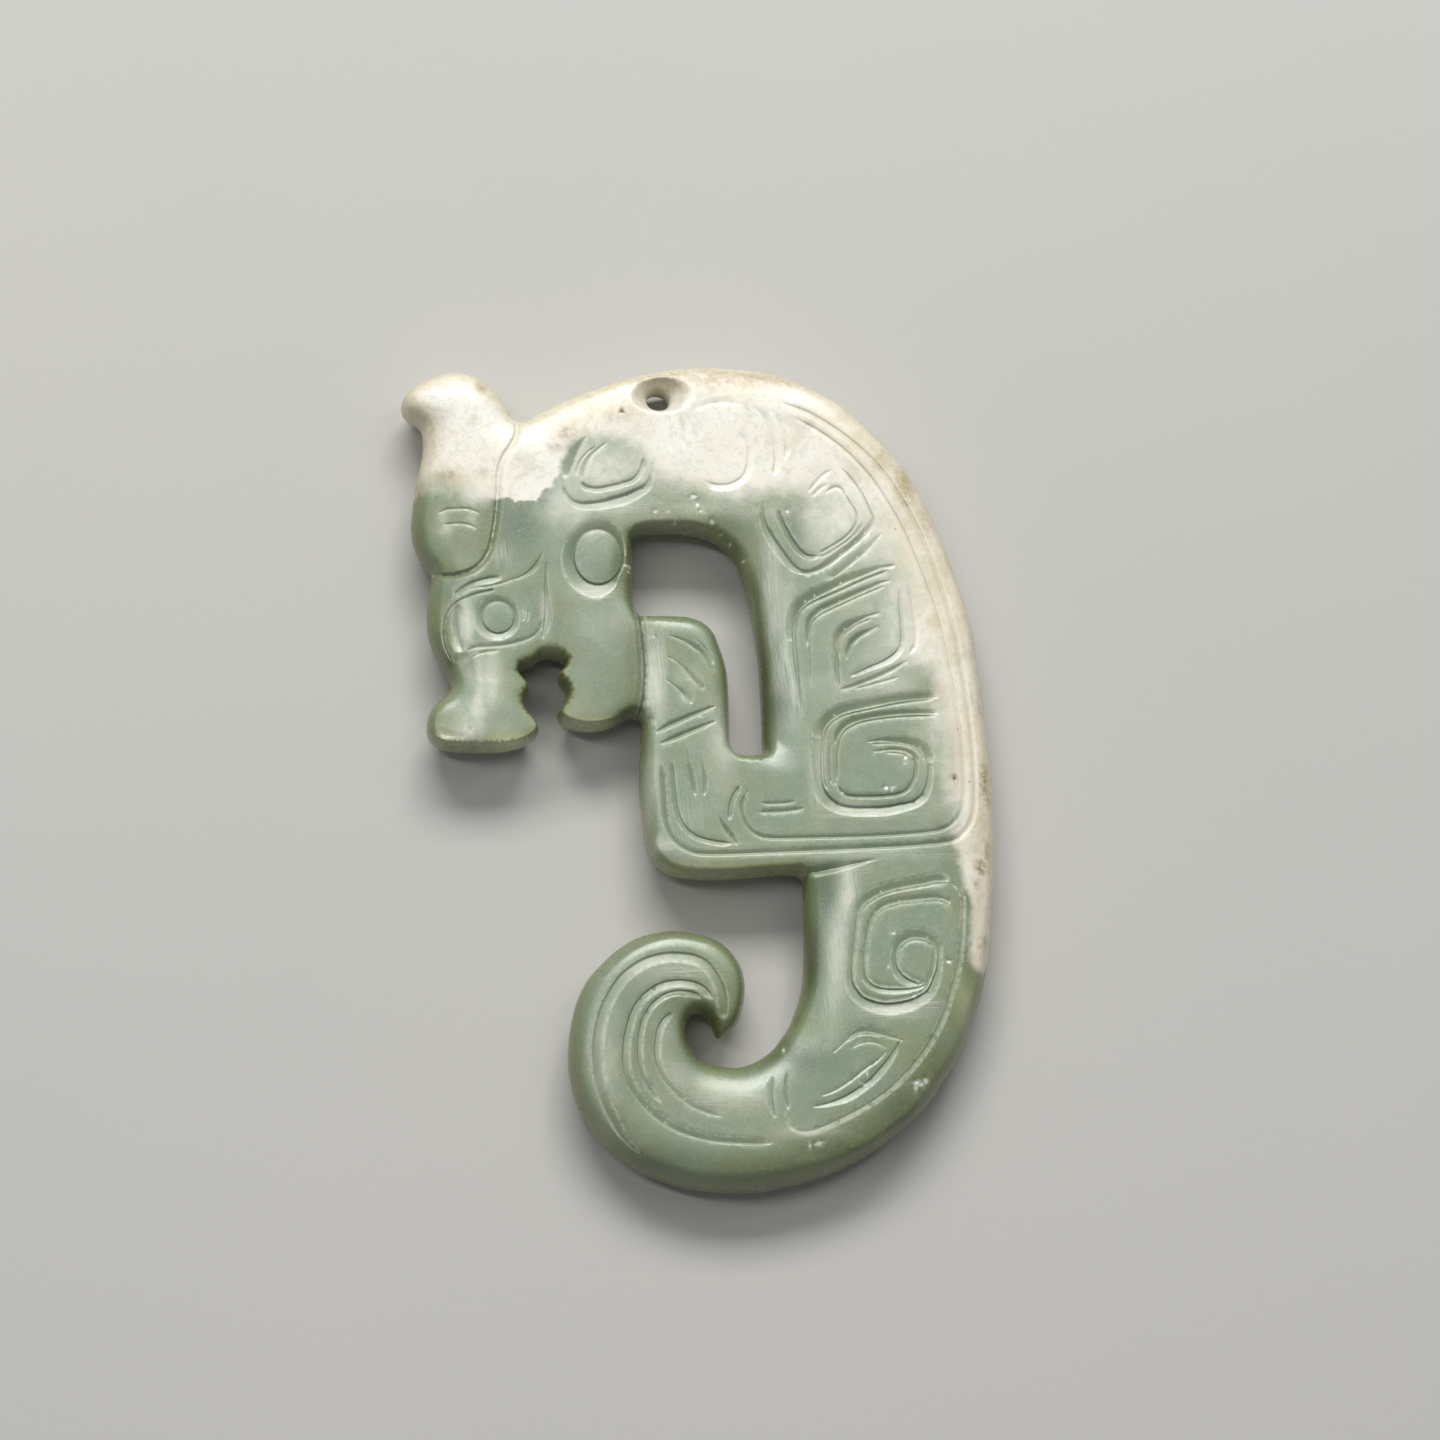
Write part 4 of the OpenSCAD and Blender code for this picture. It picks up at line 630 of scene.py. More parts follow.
nick = np.zeros((NY, NX), np.float32)
for i, (px, py, pr) in enumerate(NICKS):
    mx, my = to_mm(px, py)
    w = patch(mx - 1, my - 1, mx + 1, my + 1)
    r = np.hypot((gx[w[1]][None, :] - mx) / (1 + 0.3 * math.sin(i * 2.7)), (gy[w[0]][:, None] - my) / (1 - 0.3 * math.sin(i * 2.7))) / (pr * PX)
    nick[w] = np.maximum(nick[w], np.clip(1.35 - r, 0, 1).astype(np.float32))
    turn = np.linspace(0, 2 * math.pi, 8, endpoint=False) + i
    for k, level in ((0.0, 0), (0.6, 1), (1.2, 1)):
        rows.append((level, np.column_stack([mx + np.cos(turn) * pr * PX * k, my + np.sin(turn) * pr * PX * k])[:1 if k == 0 else 8]))
chalk_ring = np.array([to_mm(x, y) for x, y, _ in CHALK])
chalk_ring = smooth(chalk_ring, 4, True)
chalk_soft = np.repeat([s for _, _, s in CHALK], 4)
white = np.where(inside([chalk_ring]), 1.0, -1.0).astype(np.float32)
w, q, _, along, total = from_run(chalk_ring, 4.0, True)
far = np.full((NY, NX), 4.0, np.float32)
far[w] = np.minimum(q, 4.0)
lengths = np.concatenate([[0], np.cumsum(np.hypot(*np.diff(np.vstack([chalk_ring, chalk_ring[:1]]), axis=0).T))])
soft = np.full((NY, NX), 1.0, np.float32)
soft[w] = np.interp(along, lengths, np.append(chalk_soft, chalk_soft[0]))
TONES = {
    "chalk": white * far, "soft": blur(soft, 0.25), "olive_and_shade": toned("olive_and_shade"), "pale_and_highlight": toned("pale_and_highlight"), "tan": toned("tan"), "stain": toned("stain"),
    "frost_and_highlight": toned("frost_and_highlight"), "swept_and_highlight": toned("swept_and_highlight"), "deep": toned("deep"), "lit": toned("lit"), "nick": nick, "groove": blur(marks, 0.02), "across": np.maximum(rim, 0)}

# ---------------------------------------------------------------------------------------------------------------
# The mesh: one sheet of triangles for the face and one for the back, welded along the edge
# ---------------------------------------------------------------------------------------------------------------


def sampled(field, x, y):
    """A grid's value at any place, smoothly."""
    fx, fy = np.clip((x - GX0) / STEP, 1, NX - 3), np.clip((y - GY0) / STEP, 1, NY - 3)
    i, j = fx.astype(int), fy.astype(int)
    tx, ty = fx - i, fy - j

    def weights(t):
        return (0.5 * (-t + 2 * t * t - t ** 3), 0.5 * (2 - 5 * t * t + 3 * t ** 3), 0.5 * (t + 4 * t * t - 3 * t ** 3), 0.5 * (t ** 3 - t * t))
    wx, wy = weights(tx), weights(ty)
    return sum(wy[b] * sum(wx[a] * field[j + b - 1, i + a - 1] for a in range(4)) for b in range(4))


hole_ring = np.column_stack([WAIST[0] + BORE * np.cos(np.linspace(0, 2 * math.pi, 40, endpoint=False)), WAIST[1] + BORE * np.sin(np.linspace(0, 2 * math.pi, 40, endpoint=False))])
LOOPS = [outline, opening, hole_ring]
CELL = 0.045


def sheet_points(fine):
    """Points for one sheet, the loops' own first. fine is 1 for the full set of points and less for a sparser one; the
    back reuses the face's points.
    """
    taken = np.zeros((int((GY1 - GY0) / CELL) + 40, int((GX1 - GX0) / CELL) + 40), bool)
    kept = [p for loop in LOOPS for p in loop]
    fixed = len(kept)
    for x, y in kept:
        taken[int((y - GY0) / CELL) + 10, int((x - GX0) / CELL) + 10] = True

    def offer(pts, window, low=0.10, near=None):
        if not len(pts):
            return
        pts = np.asarray(pts)
        d = sampled(rim, pts[:, 0], pts[:, 1])
        clear = np.hypot(pts[:, 0] - WAIST[0], pts[:, 1] - WAIST[1]) > BORE + 0.03
        good = (d > low) & clear if near is None else (d > near * 0.6) & (d < near * 1.4 + 0.01) & clear
        for (x, y) in pts[good]:
            j, i = int((y - GY0) / CELL) + 10, int((x - GX0) / CELL) + 10
            if not taken[j - window:j + window + 1, i - window:i + window + 1].any():
                taken[j, i] = True
                kept.append((x, y))

    angles = (9, 19, 30, 42, 55, 70, 90) if fine >= 1 else (12, 28, 48, 72)
    for loop in (outline, opening):
        tang = np.roll(loop, -1, axis=0) - np.roll(loop, 1, axis=0)
        tang /= np.hypot(*tang.T)[:, None]
        inward = np.column_stack([-tang[:, 1], tang[:, 0]])
        probe = loop + inward * 0.15
        if np.median(sampled(rim, probe[:, 0], probe[:, 1])) < 0:
            inward = -inward
        for n, angle in enumerate(angles):
            d = 0.95 * (1 - math.cos(math.radians(angle)))
            keep = slice(None) if d < 0.2 and fine >= 1 else slice(n % 2, None, 2)
            offer((loop + inward * d)[keep], 0 if d < 0.07 else 1, near=d)
    ring = lambda r, n: np.column_stack([WAIST[0] + r * np.cos(np.linspace(0, 2 * math.pi, n, endpoint=False) + r * 9), WAIST[1] + r * np.sin(np.linspace(0, 2 * math.pi, n, endpoint=False) + r * 9)])
    for r in (0.875, 0.92, 0.98, 1.06, 1.2, 1.4, 1.65, 1.9, 2.15, 2.4):
        offer(ring(r, int(2 * math.pi * r / 0.13)), 0 if r < 1.1 else 1)
    # the mouth of the hole, where its wall meets the face
    turn = np.linspace(0, 2 * math.pi, 90, endpoint=False)
    for k in (1.0, 0.93, 1.07, 0.86, 1.14, 0.79, 0.72, 0.65):
        offer(np.column_stack([mouth[0] + MOUTH_R[0] * k * np.cos(turn), mouth[1] + MOUTH_R[1] * k * np.sin(turn)]), 0)
    for level in (0, 1, 2):
        if level == 2 and fine < 1:
            continue
        for wanted, pts in rows:
            if wanted == level:
                offer(pts if fine >= 1 else pts[::2], (0 if level < 2 else 1) if fine >= 1 else 3)
    gap = 0.285 if fine >= 1 else 0.42
    ys = np.arange(GY0, GY1, gap * 0.866)
    grid = np.concatenate([np.column_stack([np.arange(GX0, GX1, gap) + (gap / 2 if n % 2 else 0), np.full(len(np.arange(GX0, GX1, gap)), y)]) for n, y in enumerate(ys)])
    offer(grid, int(0.55 * gap / CELL))
    return np.array(kept), fixed


ring_edges, start = [], 0
for loop in LOOPS:
    n = len(loop)
    ring_edges += [(start + k, start + (k + 1) % n) for k in range(n)]
    start += n


def triangles_of(pts, fixed):
    """The sheet's triangles. Points are added where an edge would join two points of the rim across the stone."""
    for _ in range(4):
        verts, _, faces, source, _, _ = delaunay_2d_cdt([Vector(p) for p in pts], ring_edges, [], 0, 1e-6, True)
        first = np.array([min(s) if s else -1 for s in source])
        tri = first[np.array([f for f in faces if len(f) == 3])]
        tri = tri[(tri >= 0).all(axis=1)]
        a, b, c = pts[tri[:, 0]], pts[tri[:, 1]], pts[tri[:, 2]]
        area = (b[:, 0] - a[:, 0]) * (c[:, 1] - a[:, 1]) - (b[:, 1] - a[:, 1]) * (c[:, 0] - a[:, 0])
        tri[area < 0] = tri[area < 0][:, ::-1]
        size = np.abs(area)
        # triangles joined without crossing the rim are all inside or all outside
        fence = {(min(e), max(e)) for e in ring_edges}
        owner, linked = {}, [[] for _ in tri]
        for t, (i, j, k) in enumerate(tri.tolist()):
            for e in ((i, j), (j, k), (k, i)):
                e = (min(e), max(e))
                if e in fence:
                    continue
                if e in owner:
                    linked[t].append(owner[e])
                    linked[owner[e]].append(t)
                else:
                    owner[e] = t
        group = np.full(len(tri), -1)
        middle = (a + b + c) / 3
        depth = sampled(rim, middle[:, 0], middle[:, 1])
        clear = np.hypot(middle[:, 0] - WAIST[0], middle[:, 1] - WAIST[1]) > BORE
        keep = np.zeros(len(tri), bool)
        for seed in np.argsort(-size):
            if group[seed] >= 0:
                continue
            group[seed] = seed
            stack, members = [seed], []
            while stack:
                t = stack.pop()
                members.append(t)
                for o in linked[t]:
                    if group[o] < 0:
                        group[o] = seed
                        stack.append(o)
            keep[members] = bool(depth[seed] > 0 and clear[seed])
        tri = tri[keep]
        bridges = set()
        for i, j, k in tri.tolist():
            for e in ((i, j), (j, k), (k, i)):
                e = (min(e), max(e))
                if e[1] < fixed and e not in fence:
                    bridges.add(e)
        if not bridges:
            break
        pts = np.vstack([pts, [(pts[i] + pts[j]) / 2 for i, j in sorted(bridges)]])
    return pts, tri


slope_x, slope_y = np.gradient(body, STEP)[1], np.gradient(body, STEP)[0]
rim_x, rim_y = np.gradient(rim, STEP)[1], np.gradient(rim, STEP)[0]


def raised(pts, fixed, back=False):
    """Height over the mid plane and outward normal for each point of a sheet."""
    x, y = pts[:, 0], pts[:, 1]
    a = sampled(body, x, y)
    d = np.maximum(sampled(rim, x, y), 0)
    r = sampled(ROUND * BACK if back else ROUND, x, y)
    dx, dy = sampled(rim_x, x, y), sampled(rim_y, x, y)
    start = 0
    for loop in (outline, opening):
        n = len(loop)
        tang = np.roll(loop, -1, axis=0) - np.roll(loop, 1, axis=0)
        tang /= np.hypot(*tang.T)[:, None]
        nx, ny = -tang[:, 1], tang[:, 0]
        turn = np.sign(np.median(sampled(rim, loop[:, 0] + nx * 0.15, loop[:, 1] + ny * 0.15)))
        dx[start:start + n], dy[start:start + n] = nx * turn, ny * turn
        d[start:start + n] = 0
        start += n
    t = np.clip(d / r, 0, 1)
    e, de = 2 * t - t * t, 2 * (1 - t) / r
    u = a * a * e
    ux = 2 * a * sampled(slope_x, x, y) * e + a * a * de * dx
    uy = 2 * a * sampled(slope_y, x, y) * e + a * a * de * dy
    near = np.hypot(x - WAIST[0], y - WAIST[1]) < 3.3
    hx, hy = x[near], y[near]
    wall = lambda px, py: hole_height(px, py)[0]
    h0 = wall(hx, hy)
    k = 0.006
    gxx = (wall(hx + k, hy) ** 2 * np.sign(wall(hx + k, hy)) - wall(hx - k, hy) ** 2 * np.sign(wall(hx - k, hy))) / (2 * k)
    gyy = (wall(hx, hy + k) ** 2 * np.sign(wall(hx, hy + k)) - wall(hx, hy - k) ** 2 * np.sign(wall(hx, hy - k))) / (2 * k)
    radial = np.column_stack([hx - WAIST[0], hy - WAIST[1]])
    on_ring = (np.arange(len(pts))[near] < fixed) & (np.hypot(*radial.T) < BORE + 0.05)
    hu = np.where(on_ring, 0, np.maximum(h0, 0) ** 2)
    a_h, b_h = np.sqrt(np.maximum(u[near], 0)), np.sqrt(hu)
    share = np.clip(0.5 + 0.5 * (b_h - a_h) / 0.30, 0, 1)             # 1 on the face, 0 in the hole
    share = np.where(on_ring, 0, share)
    met = b_h * (1 - share) + a_h * share - 0.30 * share * (1 - share)
    gxx = np.where(on_ring, radial[:, 0] * 8, gxx)
    gyy = np.where(on_ring, radial[:, 1] * 8, gyy)
    u[near] = np.where(share > 0, np.maximum(met, 0) ** 2, hu)
    for grad, wall_grad in ((ux, gxx), (uy, gyy)):
        mixed = 2 * met * (wall_grad / (2 * b_h + 1e-9) * (1 - share) + grad[near] / (2 * a_h + 1e-9) * share)
        grad[near] = np.where(share >= 1, grad[near], np.where(share > 0, mixed, wall_grad))
    h = np.sqrt(np.maximum(u, 0))
    h[:fixed] = 0
    normal = np.column_stack([-ux, -uy, 2 * h])
    normal /= np.linalg.norm(normal, axis=1)[:, None] + 1e-12
    return h, normal


front_pts, fixed = sheet_points(1.0)
front_pts, front_tri = triangles_of(front_pts, fixed)
back_pts, back_tri = front_pts, front_tri
front_h, front_n = raised(front_pts, fixed)
back_h, back_n = raised(back_pts, fixed, True)
back_n[:, 2] *= -1
nf, nb = len(front_pts), len(back_pts)
co = np.vstack([np.column_stack([front_pts, MID + front_h]), np.column_stack([back_pts[fixed:], MID - back_h[fixed:]])])
normals = np.vstack([front_n, back_n[fixed:]])
renumber = np.concatenate([np.arange(fixed), nf + np.arange(nb - fixed)])
faces = np.vstack([front_tri, renumber[back_tri][:, ::-1]])

mesh = bpy.data.meshes.new("jade_pendant")
mesh.vertices.add(len(co))
mesh.vertices.foreach_set("co", placed(co).ravel())
mesh.loops.add(len(faces) * 3)
mesh.loops.foreach_set("vertex_index", faces.ravel())
mesh.polygons.add(len(faces))
mesh.polygons.foreach_set("loop_start", np.arange(len(faces)) * 3)
mesh.polygons.foreach_set("loop_total", np.full(len(faces), 3))
mesh.update(calc_edges=True)
mesh.validate()
mesh.polygons.foreach_set("use_smooth", np.ones(len(mesh.polygons), bool))
mesh.normals_split_custom_set_from_vertices([tuple(n) for n in normals])
for name, field in TONES.items():
    layer = mesh.attributes.new(name, "FLOAT", "POINT")
    layer.data.foreach_set("value", sampled(field, co[:, 0], co[:, 1]).astype(np.float32))
pendant = bpy.data.objects.new("jade_pendant", mesh)
scene.collection.objects.link(pendant)
print("pendant:", len(mesh.vertices), "vertices,", len(mesh.polygons), "triangles")

# ---------------------------------------------------------------------------------------------------------------
# Materials
# ---------------------------------------------------------------------------------------------------------------


def srgb(r, g, b):
    c = np.array((r, g, b)) / 255.0
    c = np.where(c <= 0.04045, c / 12.92, ((c + 0.055) / 1.055) ** 2.4)
    return float(c[0]), float(c[1]), float(c[2]), 1.0


class Graph:
    """Short calls for building one material's nodes."""

    def __init__(self, name):
        self.material = bpy.data.materials.new(name)
        self.material.use_nodes = True
        self.tree = self.material.node_tree
        self.tree.nodes.clear()
        self.count = 0

    def add(self, kind, settings=None, **inputs):
        n = self.tree.nodes.new(kind)
        n.location = (180 * (self.count % 14), -220 * (self.count // 14))
        self.count += 1
        for key, value in (settings or {}).items():
            setattr(n, key, value)
        for key, value in inputs.items():
            socket = n.inputs[int(key[1:])] if key[0] == "i" and key[1:].isdigit() else n.inputs[key.replace("_", " ")]
            if isinstance(value, bpy.types.NodeSocket):
                self.tree.links.new(value, socket)
            else:
                socket.default_value = value
        return n

    def math(self, operation, a, b=0.0, c=0.0, clamp=False):
        return self.add("ShaderNodeMath", {"operation": operation, "use_clamp": clamp}, i0=a, i1=b, i2=c).outputs[0]

    def mix(self, factor, a, b, blend="MIX"):
        n = self.add("ShaderNodeMix", {"data_type": "RGBA", "blend_type": blend, "clamp_factor": True})
        for index, value in ((0, factor), (6, a), (7, b)):
            if isinstance(value, bpy.types.NodeSocket):
                self.tree.links.new(value, n.inputs[index])
            else:
                n.inputs[index].default_value = value
        return n.outputs[2]

    def band(self, value, low, high, out_low=0.0, out_high=1.0, smooth=True):
        n = self.add("ShaderNodeMapRange", {"interpolation_type": "SMOOTHSTEP" if smooth else "LINEAR", "clamp": True})
        for index, v in ((0, value), (1, low), (2, high), (3, out_low), (4, out_high)):
            if isinstance(v, bpy.types.NodeSocket):
                self.tree.links.new(v, n.inputs[index])
            else:
                n.inputs[index].default_value = v
        return n.outputs[0]

    def noise(self, vector, scale, detail=4.0, rough=0.55, distortion=0.0):
        return self.add("ShaderNodeTexNoise", {"noise_dimensions": "3D"}, Vector=vector, Scale=scale, Detail=detail, Roughness=rough, Distortion=distortion).outputs["Fac"]

    def value(self, name):
        return self.add("ShaderNodeAttribute", {"attribute_name": name, "attribute_type": "GEOMETRY"}).outputs["Fac"]

    def stretched(self, vector, angle, along, across):
        """Coordinates turned by an angle about Z and scaled, so a noise draws out into strokes."""
        return self.add("ShaderNodeMapping", {"vector_type": "TEXTURE"}, Vector=vector, Rotation=(0, 0, math.radians(angle)), Scale=(along, across, along)).outputs[0]


def jade():
    g = Graph("jade")
    mm = g.add("ShaderNodeVectorMath", {"operation": "SCALE"}, i0=g.add("ShaderNodeTexCoord").outputs["Object"], Scale=1000.0).outputs[0]
    big = g.noise(mm, 0.20, 3.0, 0.5, 0.4)
    mid = g.noise(mm, 0.75, 5.0, 0.6, 0.5)
    small = g.noise(mm, 2.6, 5.0, 0.6, 0.3)
    grain = g.noise(mm, 9.0, 3.0, 0.6)
    chalk, soft, groove, across = g.value("chalk"), g.value("soft"), g.value("groove"), g.value("across")
    olive_and_shade, pale_and_highlight, tan, stain, frost_and_highlight, swept_and_highlight, deep, lit, nick = (g.value(k) for k in ("olive_and_shade", "pale_and_highlight", "tan", "stain", "frost_and_highlight", "swept_and_highlight", "deep", "lit", "nick"))

    # the chalk zone's ragged edge
    ragged = g.math("MULTIPLY", g.math("SUBTRACT", mid, 0.5), g.math("MULTIPLY_ADD", soft, 1.0, 0.5))
    ragged = g.math("ADD", ragged, g.math("MULTIPLY", g.math("SUBTRACT", small, 0.5), g.math("MULTIPLY_ADD", soft, 0.35, 0.35)))
    height = g.math("ADD", chalk, ragged)
    wander = g.math("MULTIPLY", g.math("SUBTRACT", g.noise(mm, 0.42, 3.0, 0.55, 0.4), 0.5), g.band(across, 0.35, 0.0))   # along the walls
    height = g.math("MULTIPLY_ADD", wander, 6.0, height)
    white = g.band(height, g.math("MULTIPLY", soft, -1.0), soft)

    # celadon, bluish and yellowish in turn, with milky wisps
    green = g.mix(g.band(big, 0.35, 0.65), srgb(134, 153, 131), srgb(143, 157, 125))
    green = g.mix(g.math("MULTIPLY", g.band(mid, 0.48, 0.72), 0.20), green, srgb(178, 186, 166))
    green = g.mix(g.math("MULTIPLY", g.band(small, 0.42, 0.30), 0.22), green, srgb(112, 128, 104))
    # deep patches: partly a deeper green in the stone, partly painted shade on slopes and rims that face away from the
    # lamps
    green = g.mix(deep, green, srgb(92, 112, 92))
    # olive patches: partly the stone's own olive colour, partly painted shade on rims and walls that face away from the
    # lamps
    olive_and_shade_all = g.math("MULTIPLY", olive_and_shade, g.math("MULTIPLY_ADD", mid, 0.5, 0.72), clamp=True)
    green = g.mix(olive_and_shade_all, green, g.mix(g.band(small, 0.35, 0.65), srgb(108, 118, 74), srgb(121, 129, 88)))
    # painted shade and painted glow: the colour turns darker olive over the rounded edge as shade on the roll-off,
    # yellower in the last half millimetre as light glowing through the thin rim, and darker still at rims under deep
    # patches
    edge = g.math("MULTIPLY", g.band(across, 1.30, 0.05), 0.62)
    green = g.mix(edge, green, srgb(104, 116, 62))
    green = g.mix(g.math("MULTIPLY", g.band(across, 0.5, 0.0), 0.85), green, srgb(118, 124, 60))
    green = g.mix(g.math("MULTIPLY", deep, g.band(across, 1.2, 0.3)), green, srgb(80, 90, 50))
    green = g.mix(lit, green, srgb(206, 208, 164))
    # painted highlight: the pale patches are partly the stone's milky pale colour and partly painted satin highlights
    # where slopes face the side lamps
    pale_and_highlight_all = g.math("MULTIPLY", pale_and_highlight, g.math("MULTIPLY_ADD", small, 0.7, 0.6), clamp=True)
    green = g.mix(pale_and_highlight_all, green, g.mix(g.band(mid, 0.4, 0.6), srgb(216, 220, 206), srgb(234, 234, 221)))

    # chalk white, with cream, tan and grey blotches
    cream = g.mix(g.band(big, 0.3, 0.7), srgb(250, 248, 240), srgb(246, 242, 229))
    grey = g.math("MULTIPLY", g.band(small, 0.50, 0.64), 0.36)
    cream = g.mix(grey, cream, srgb(205, 206, 188))
    veil = g.math("MULTIPLY", g.band(g.noise(mm, 0.42, 6.0, 0.62, 0.9), 0.50, 0.63), 0.40)
    cream = g.mix(veil, cream, srgb(206, 203, 186))
    tan_all = g.math("MULTIPLY", tan, g.math("MULTIPLY_ADD", mid, 1.1, 0.35), clamp=True)
    tan_all = g.math("MAXIMUM", tan_all, g.math("MULTIPLY", g.band(across, 2.0, 0.0), g.math("MULTIPLY_ADD", mid, 1.0, 0.26)), clamp=True)
    cream = g.mix(tan_all, cream, g.mix(g.band(small, 0.4, 0.6), srgb(216, 203, 168), srgb(202, 190, 151)))
    colour = g.mix(white, green, cream)

    # fine grain through the stone
    sand = g.band(g.noise(mm, 11.0, 3.0, 0.7), 0.40, 0.64)
    colour = g.mix(g.math("MULTIPLY", sand, g.band(across, 0.2, 1.2, 0.02, 0.19)), colour, g.mix(white, srgb(192, 204, 174), srgb(206, 197, 174)))
    dark_sand = g.band(g.noise(mm, 7.0, 4.0, 0.7), 0.42, 0.30)
    colour = g.mix(g.math("MULTIPLY", dark_sand, 0.20), colour, g.mix(white, srgb(92, 106, 80), srgb(196, 184, 156)))

    # brown stains and specks
    stain_all = g.math("MULTIPLY", stain, g.band(small, 0.25, 0.55), clamp=True)
    colour = g.mix(stain_all, colour, srgb(128, 98, 52))
    specks = g.add("ShaderNodeTexVoronoi", {"feature": "F1"}, Vector=mm, Scale=0.9, Randomness=1.0)
    dot = g.math("MULTIPLY", g.band(specks.outputs["Distance"], 0.10, 0.04), g.band(g.noise(mm, 0.35, 1.0), 0.52, 0.60))
    dot = g.math("MULTIPLY", dot, g.math("MULTIPLY_ADD", white, 0.72, 0.08), clamp=True)
    colour = g.mix(dot, colour, srgb(120, 96, 60))

    # tool marks: the cut lines are unpolished, and coloured darker along them, darkest at their bottom
    cut_tone = g.math("MULTIPLY", g.band(groove, 0.03, 0.22), 0.27)
    colour = g.mix(cut_tone, colour, g.mix(white, srgb(92, 108, 78), srgb(214, 205, 180)))
    groove_bottom_dark = g.math("MULTIPLY", g.band(groove, 0.22, 0.38), g.math("MULTIPLY_ADD", small, 0.4, 0.10), clamp=True)
    colour = g.mix(groove_bottom_dark, colour, g.mix(white, srgb(84, 92, 62), srgb(170, 158, 126)))

    # painted highlight: a pale fringe along the shallow edge of each cut line, where its flank catches the light
    fringe_highlight = g.math("MULTIPLY", g.band(groove, 0.004, 0.022), g.band(groove, 0.10, 0.035))
    fringe_highlight = g.math("MULTIPLY", fringe_highlight, g.math("MULTIPLY", g.band(small, 0.36, 0.58), 0.43))
    colour = g.mix(fringe_highlight, colour, g.mix(white, srgb(214, 219, 203), srgb(250, 248, 240)))

    # frosted bands where the grinding shows, which also paint satin highlights where the slopes face a lamp, and small
    # white chips
    strokes = g.noise(g.stretched(mm, 97, 2.4, 0.10), 1.0, 3.0, 0.6)
    strokes_b = g.noise(g.stretched(mm, 62, 2.6, 0.13), 1.0, 2.0, 0.55)
    sweeps = g.noise(g.stretched(mm, 3, 2.4, 0.10), 1.0, 3.0, 0.6)
    frost_and_highlight_mark = g.math("MULTIPLY", frost_and_highlight, g.band(strokes, 0.40, 0.58))
    sweep_and_highlight_mark = g.math("MULTIPLY", swept_and_highlight, g.band(sweeps, 0.40, 0.58))
    ground_and_highlight = g.math("MAXIMUM", frost_and_highlight_mark, sweep_and_highlight_mark)
    colour = g.mix(g.math("MULTIPLY", ground_and_highlight, 0.60), colour, srgb(220, 223, 210))
    colour = g.mix(g.math("MULTIPLY", nick, g.band(grain, 0.25, 0.5)), colour, srgb(232, 234, 224))

    rough = g.math("MULTIPLY_ADD", g.math("SUBTRACT", mid, 0.5), 0.18, 0.26)
    rough = g.math("ADD", rough, g.math("MULTIPLY", g.band(groove, 0.02, 0.12), 0.08))
    rough = g.math("ADD", rough, g.math("MULTIPLY", white, 0.07))
    rough = g.math("ADD", rough, g.math("MULTIPLY", ground_and_highlight, 0.16))
    rough = g.math("ADD", rough, g.math("MULTIPLY", g.math("SUBTRACT", grain, 0.5), 0.14), clamp=True)

    relief = g.math("ADD", g.math("MULTIPLY", strokes, g.math("MULTIPLY_ADD", frost_and_highlight, 1.0, 0.08)), g.math("MULTIPLY", sweeps, swept_and_highlight))
    relief = g.math("ADD", relief, g.math("MULTIPLY", strokes_b, 0.35))
    relief = g.math("ADD", relief, g.math("MULTIPLY", grain, 0.5))
    relief = g.math("ADD", relief, g.math("MULTIPLY", small, 1.0))
    relief = g.math("ADD", relief, g.math("MULTIPLY", sand, 0.35))
    bump = g.add("ShaderNodeBump", None, Strength=1.0, Distance=0.000012, Height=relief)

    shader = g.add("ShaderNodeBsdfPrincipled", None, Base_Color=colour, Roughness=rough, Normal=bump.outputs[0])
    shader.inputs["IOR"].default_value = 1.6
    shader.inputs["Specular IOR Level"].default_value = 0.62
    shader.inputs["Subsurface Weight"].default_value = 0.40
    shader.inputs["Subsurface Radius"].default_value = (1.2, 1.1, 0.7)
    shader.inputs["Subsurface Scale"].default_value = 0.0003
    shader.inputs["Coat Weight"].default_value = 0.20
    shader.inputs["Coat Roughness"].default_value = 0.20
    out = g.add("ShaderNodeOutputMaterial")
    g.tree.links.new(shader.outputs[0], out.inputs[0])
    return g.material


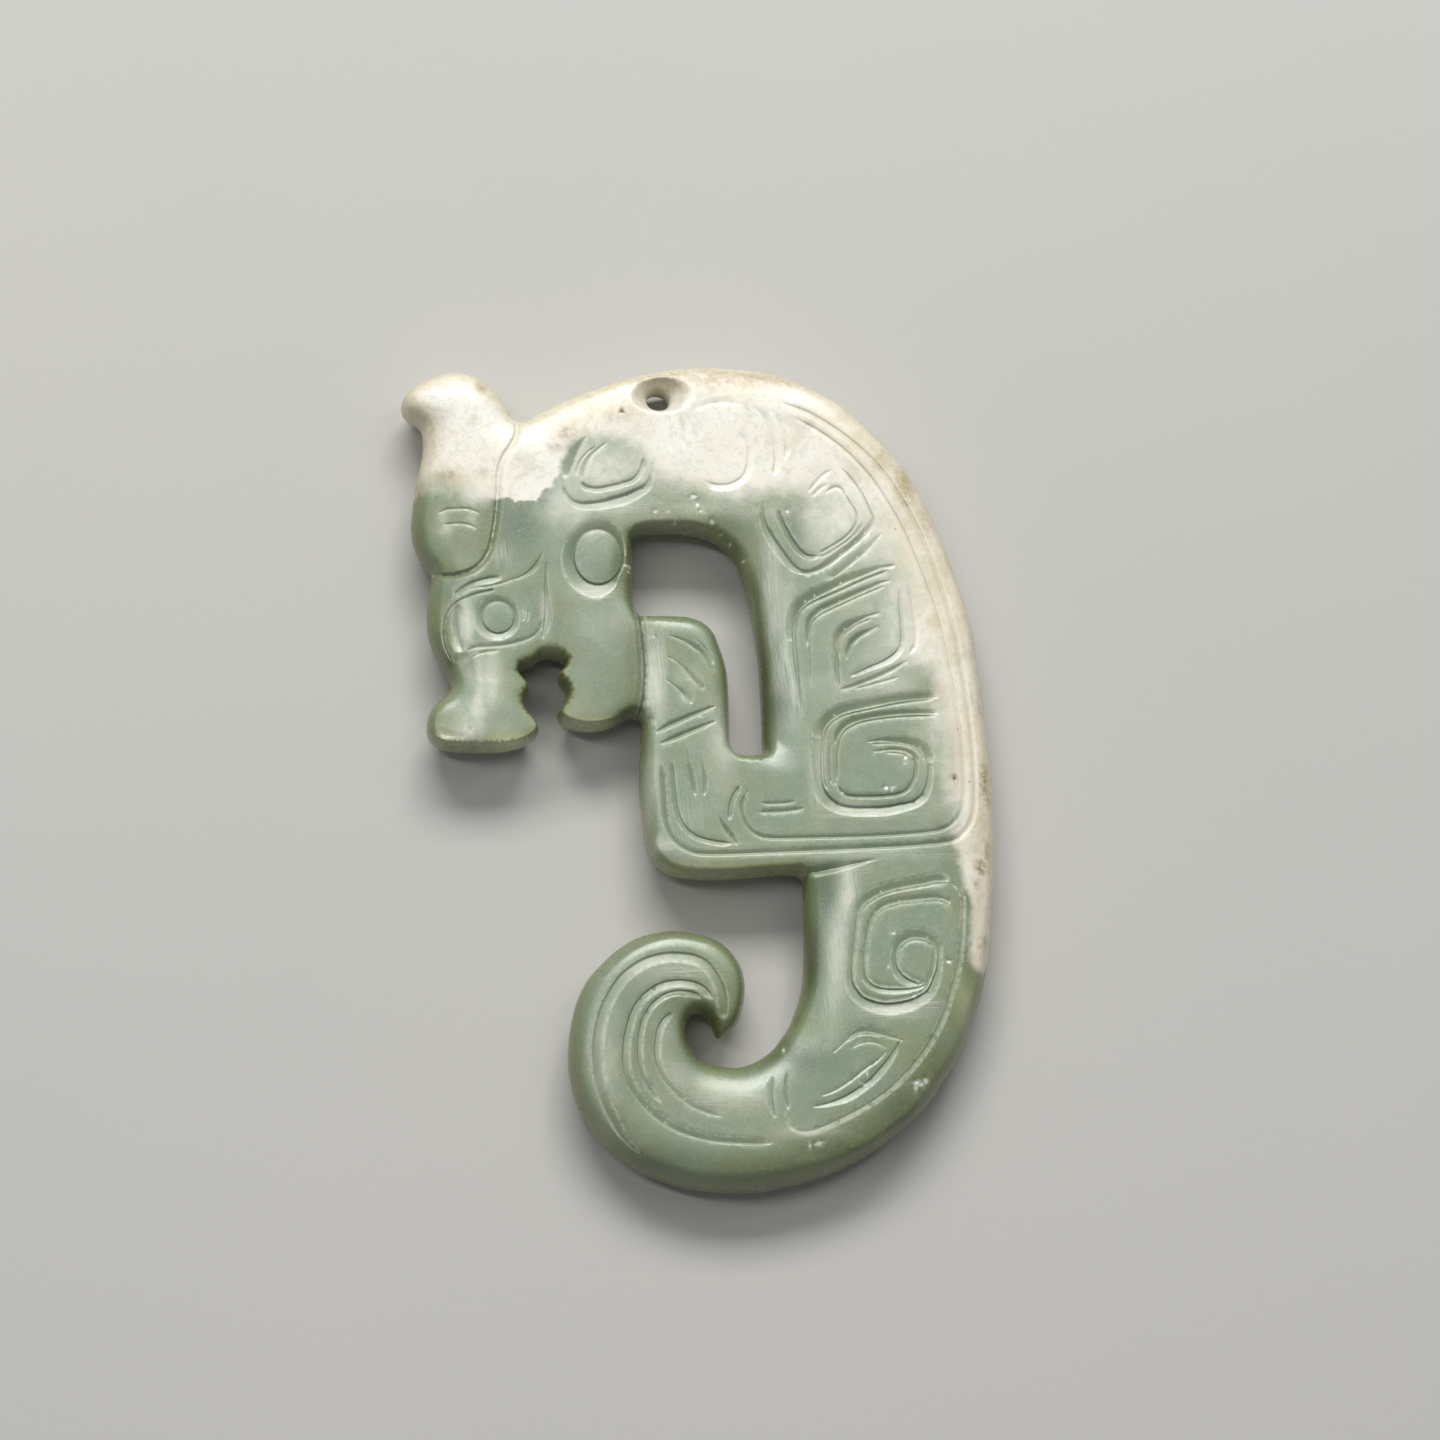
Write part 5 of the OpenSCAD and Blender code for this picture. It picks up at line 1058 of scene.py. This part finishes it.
def pale_floor():
    g = Graph("pale_floor")
    where = g.add("ShaderNodeTexCoord").outputs["Object"]
    cloud = g.noise(where, 6.0, 4.0, 0.5)
    fibre = g.noise(where, 900.0, 3.0, 0.6)
    colour = g.mix(g.band(cloud, 0.3, 0.7), srgb(196, 196, 192), srgb(201, 200, 196))
    colour = g.mix(g.math("MULTIPLY", fibre, 0.10), colour, srgb(188, 188, 184))
    bump = g.add("ShaderNodeBump", None, Strength=0.25, Distance=0.00004, Height=fibre)
    shader = g.add("ShaderNodeBsdfPrincipled", None, Base_Color=colour, Roughness=g.band(cloud, 0.2, 0.8, 0.62, 0.72), Normal=bump.outputs[0])
    shader.inputs["Specular IOR Level"].default_value = 0.25
    out = g.add("ShaderNodeOutputMaterial")
    g.tree.links.new(shader.outputs[0], out.inputs[0])
    return g.material


pendant.data.materials.append(jade())

floor_mesh = bpy.data.meshes.new("floor")
half = 2.0
floor_mesh.from_pydata([(-half, -half, 0), (half, -half, 0), (half, half, 0), (-half, half, 0)], [], [(0, 1, 2, 3)])
floor = bpy.data.objects.new("floor", floor_mesh)
scene.collection.objects.link(floor)
floor.data.materials.append(pale_floor())

# ---------------------------------------------------------------------------------------------------------------
# Light: one broad soft lamp from the top of the photograph, a tall faint one on each side, pale surroundings
# ---------------------------------------------------------------------------------------------------------------


def lamp(name, direction, distance, size, power, colour=(1, 1, 1)):
    data = bpy.data.lights.new(name, "AREA")
    data.shape = "RECTANGLE"
    data.size, data.size_y = size
    data.energy = power
    data.color = colour
    obj = bpy.data.objects.new(name, data)
    scene.collection.objects.link(obj)
    d = Vector(unit(direction))
    obj.location = Vector((0, 0, 0.003)) + d * distance
    obj.rotation_euler = d.to_track_quat("Z", "Y").to_euler()
    return obj


lamp("key", (-0.04, 0.71, 0.70), 0.60, (0.46, 0.18), 3.35, (1.0, 0.985, 0.96))
lamp("left", (-0.36, 0.10, 0.93), 0.60, (0.05, 0.42), 0.62, (1.0, 0.99, 0.97))
lamp("right", (0.42, 0.34, 0.84), 0.60, (0.08, 0.36), 0.28, (1.0, 0.99, 0.98))
world = bpy.data.worlds.new("surroundings")
scene.world = world
world.use_nodes = True
world.node_tree.nodes["Background"].inputs[0].default_value = (0.93, 0.96, 1.0, 1)
world.node_tree.nodes["Background"].inputs[1].default_value = 0.17
scene.view_settings.view_transform = "Standard"

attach(pendant, "root")
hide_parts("pendant")
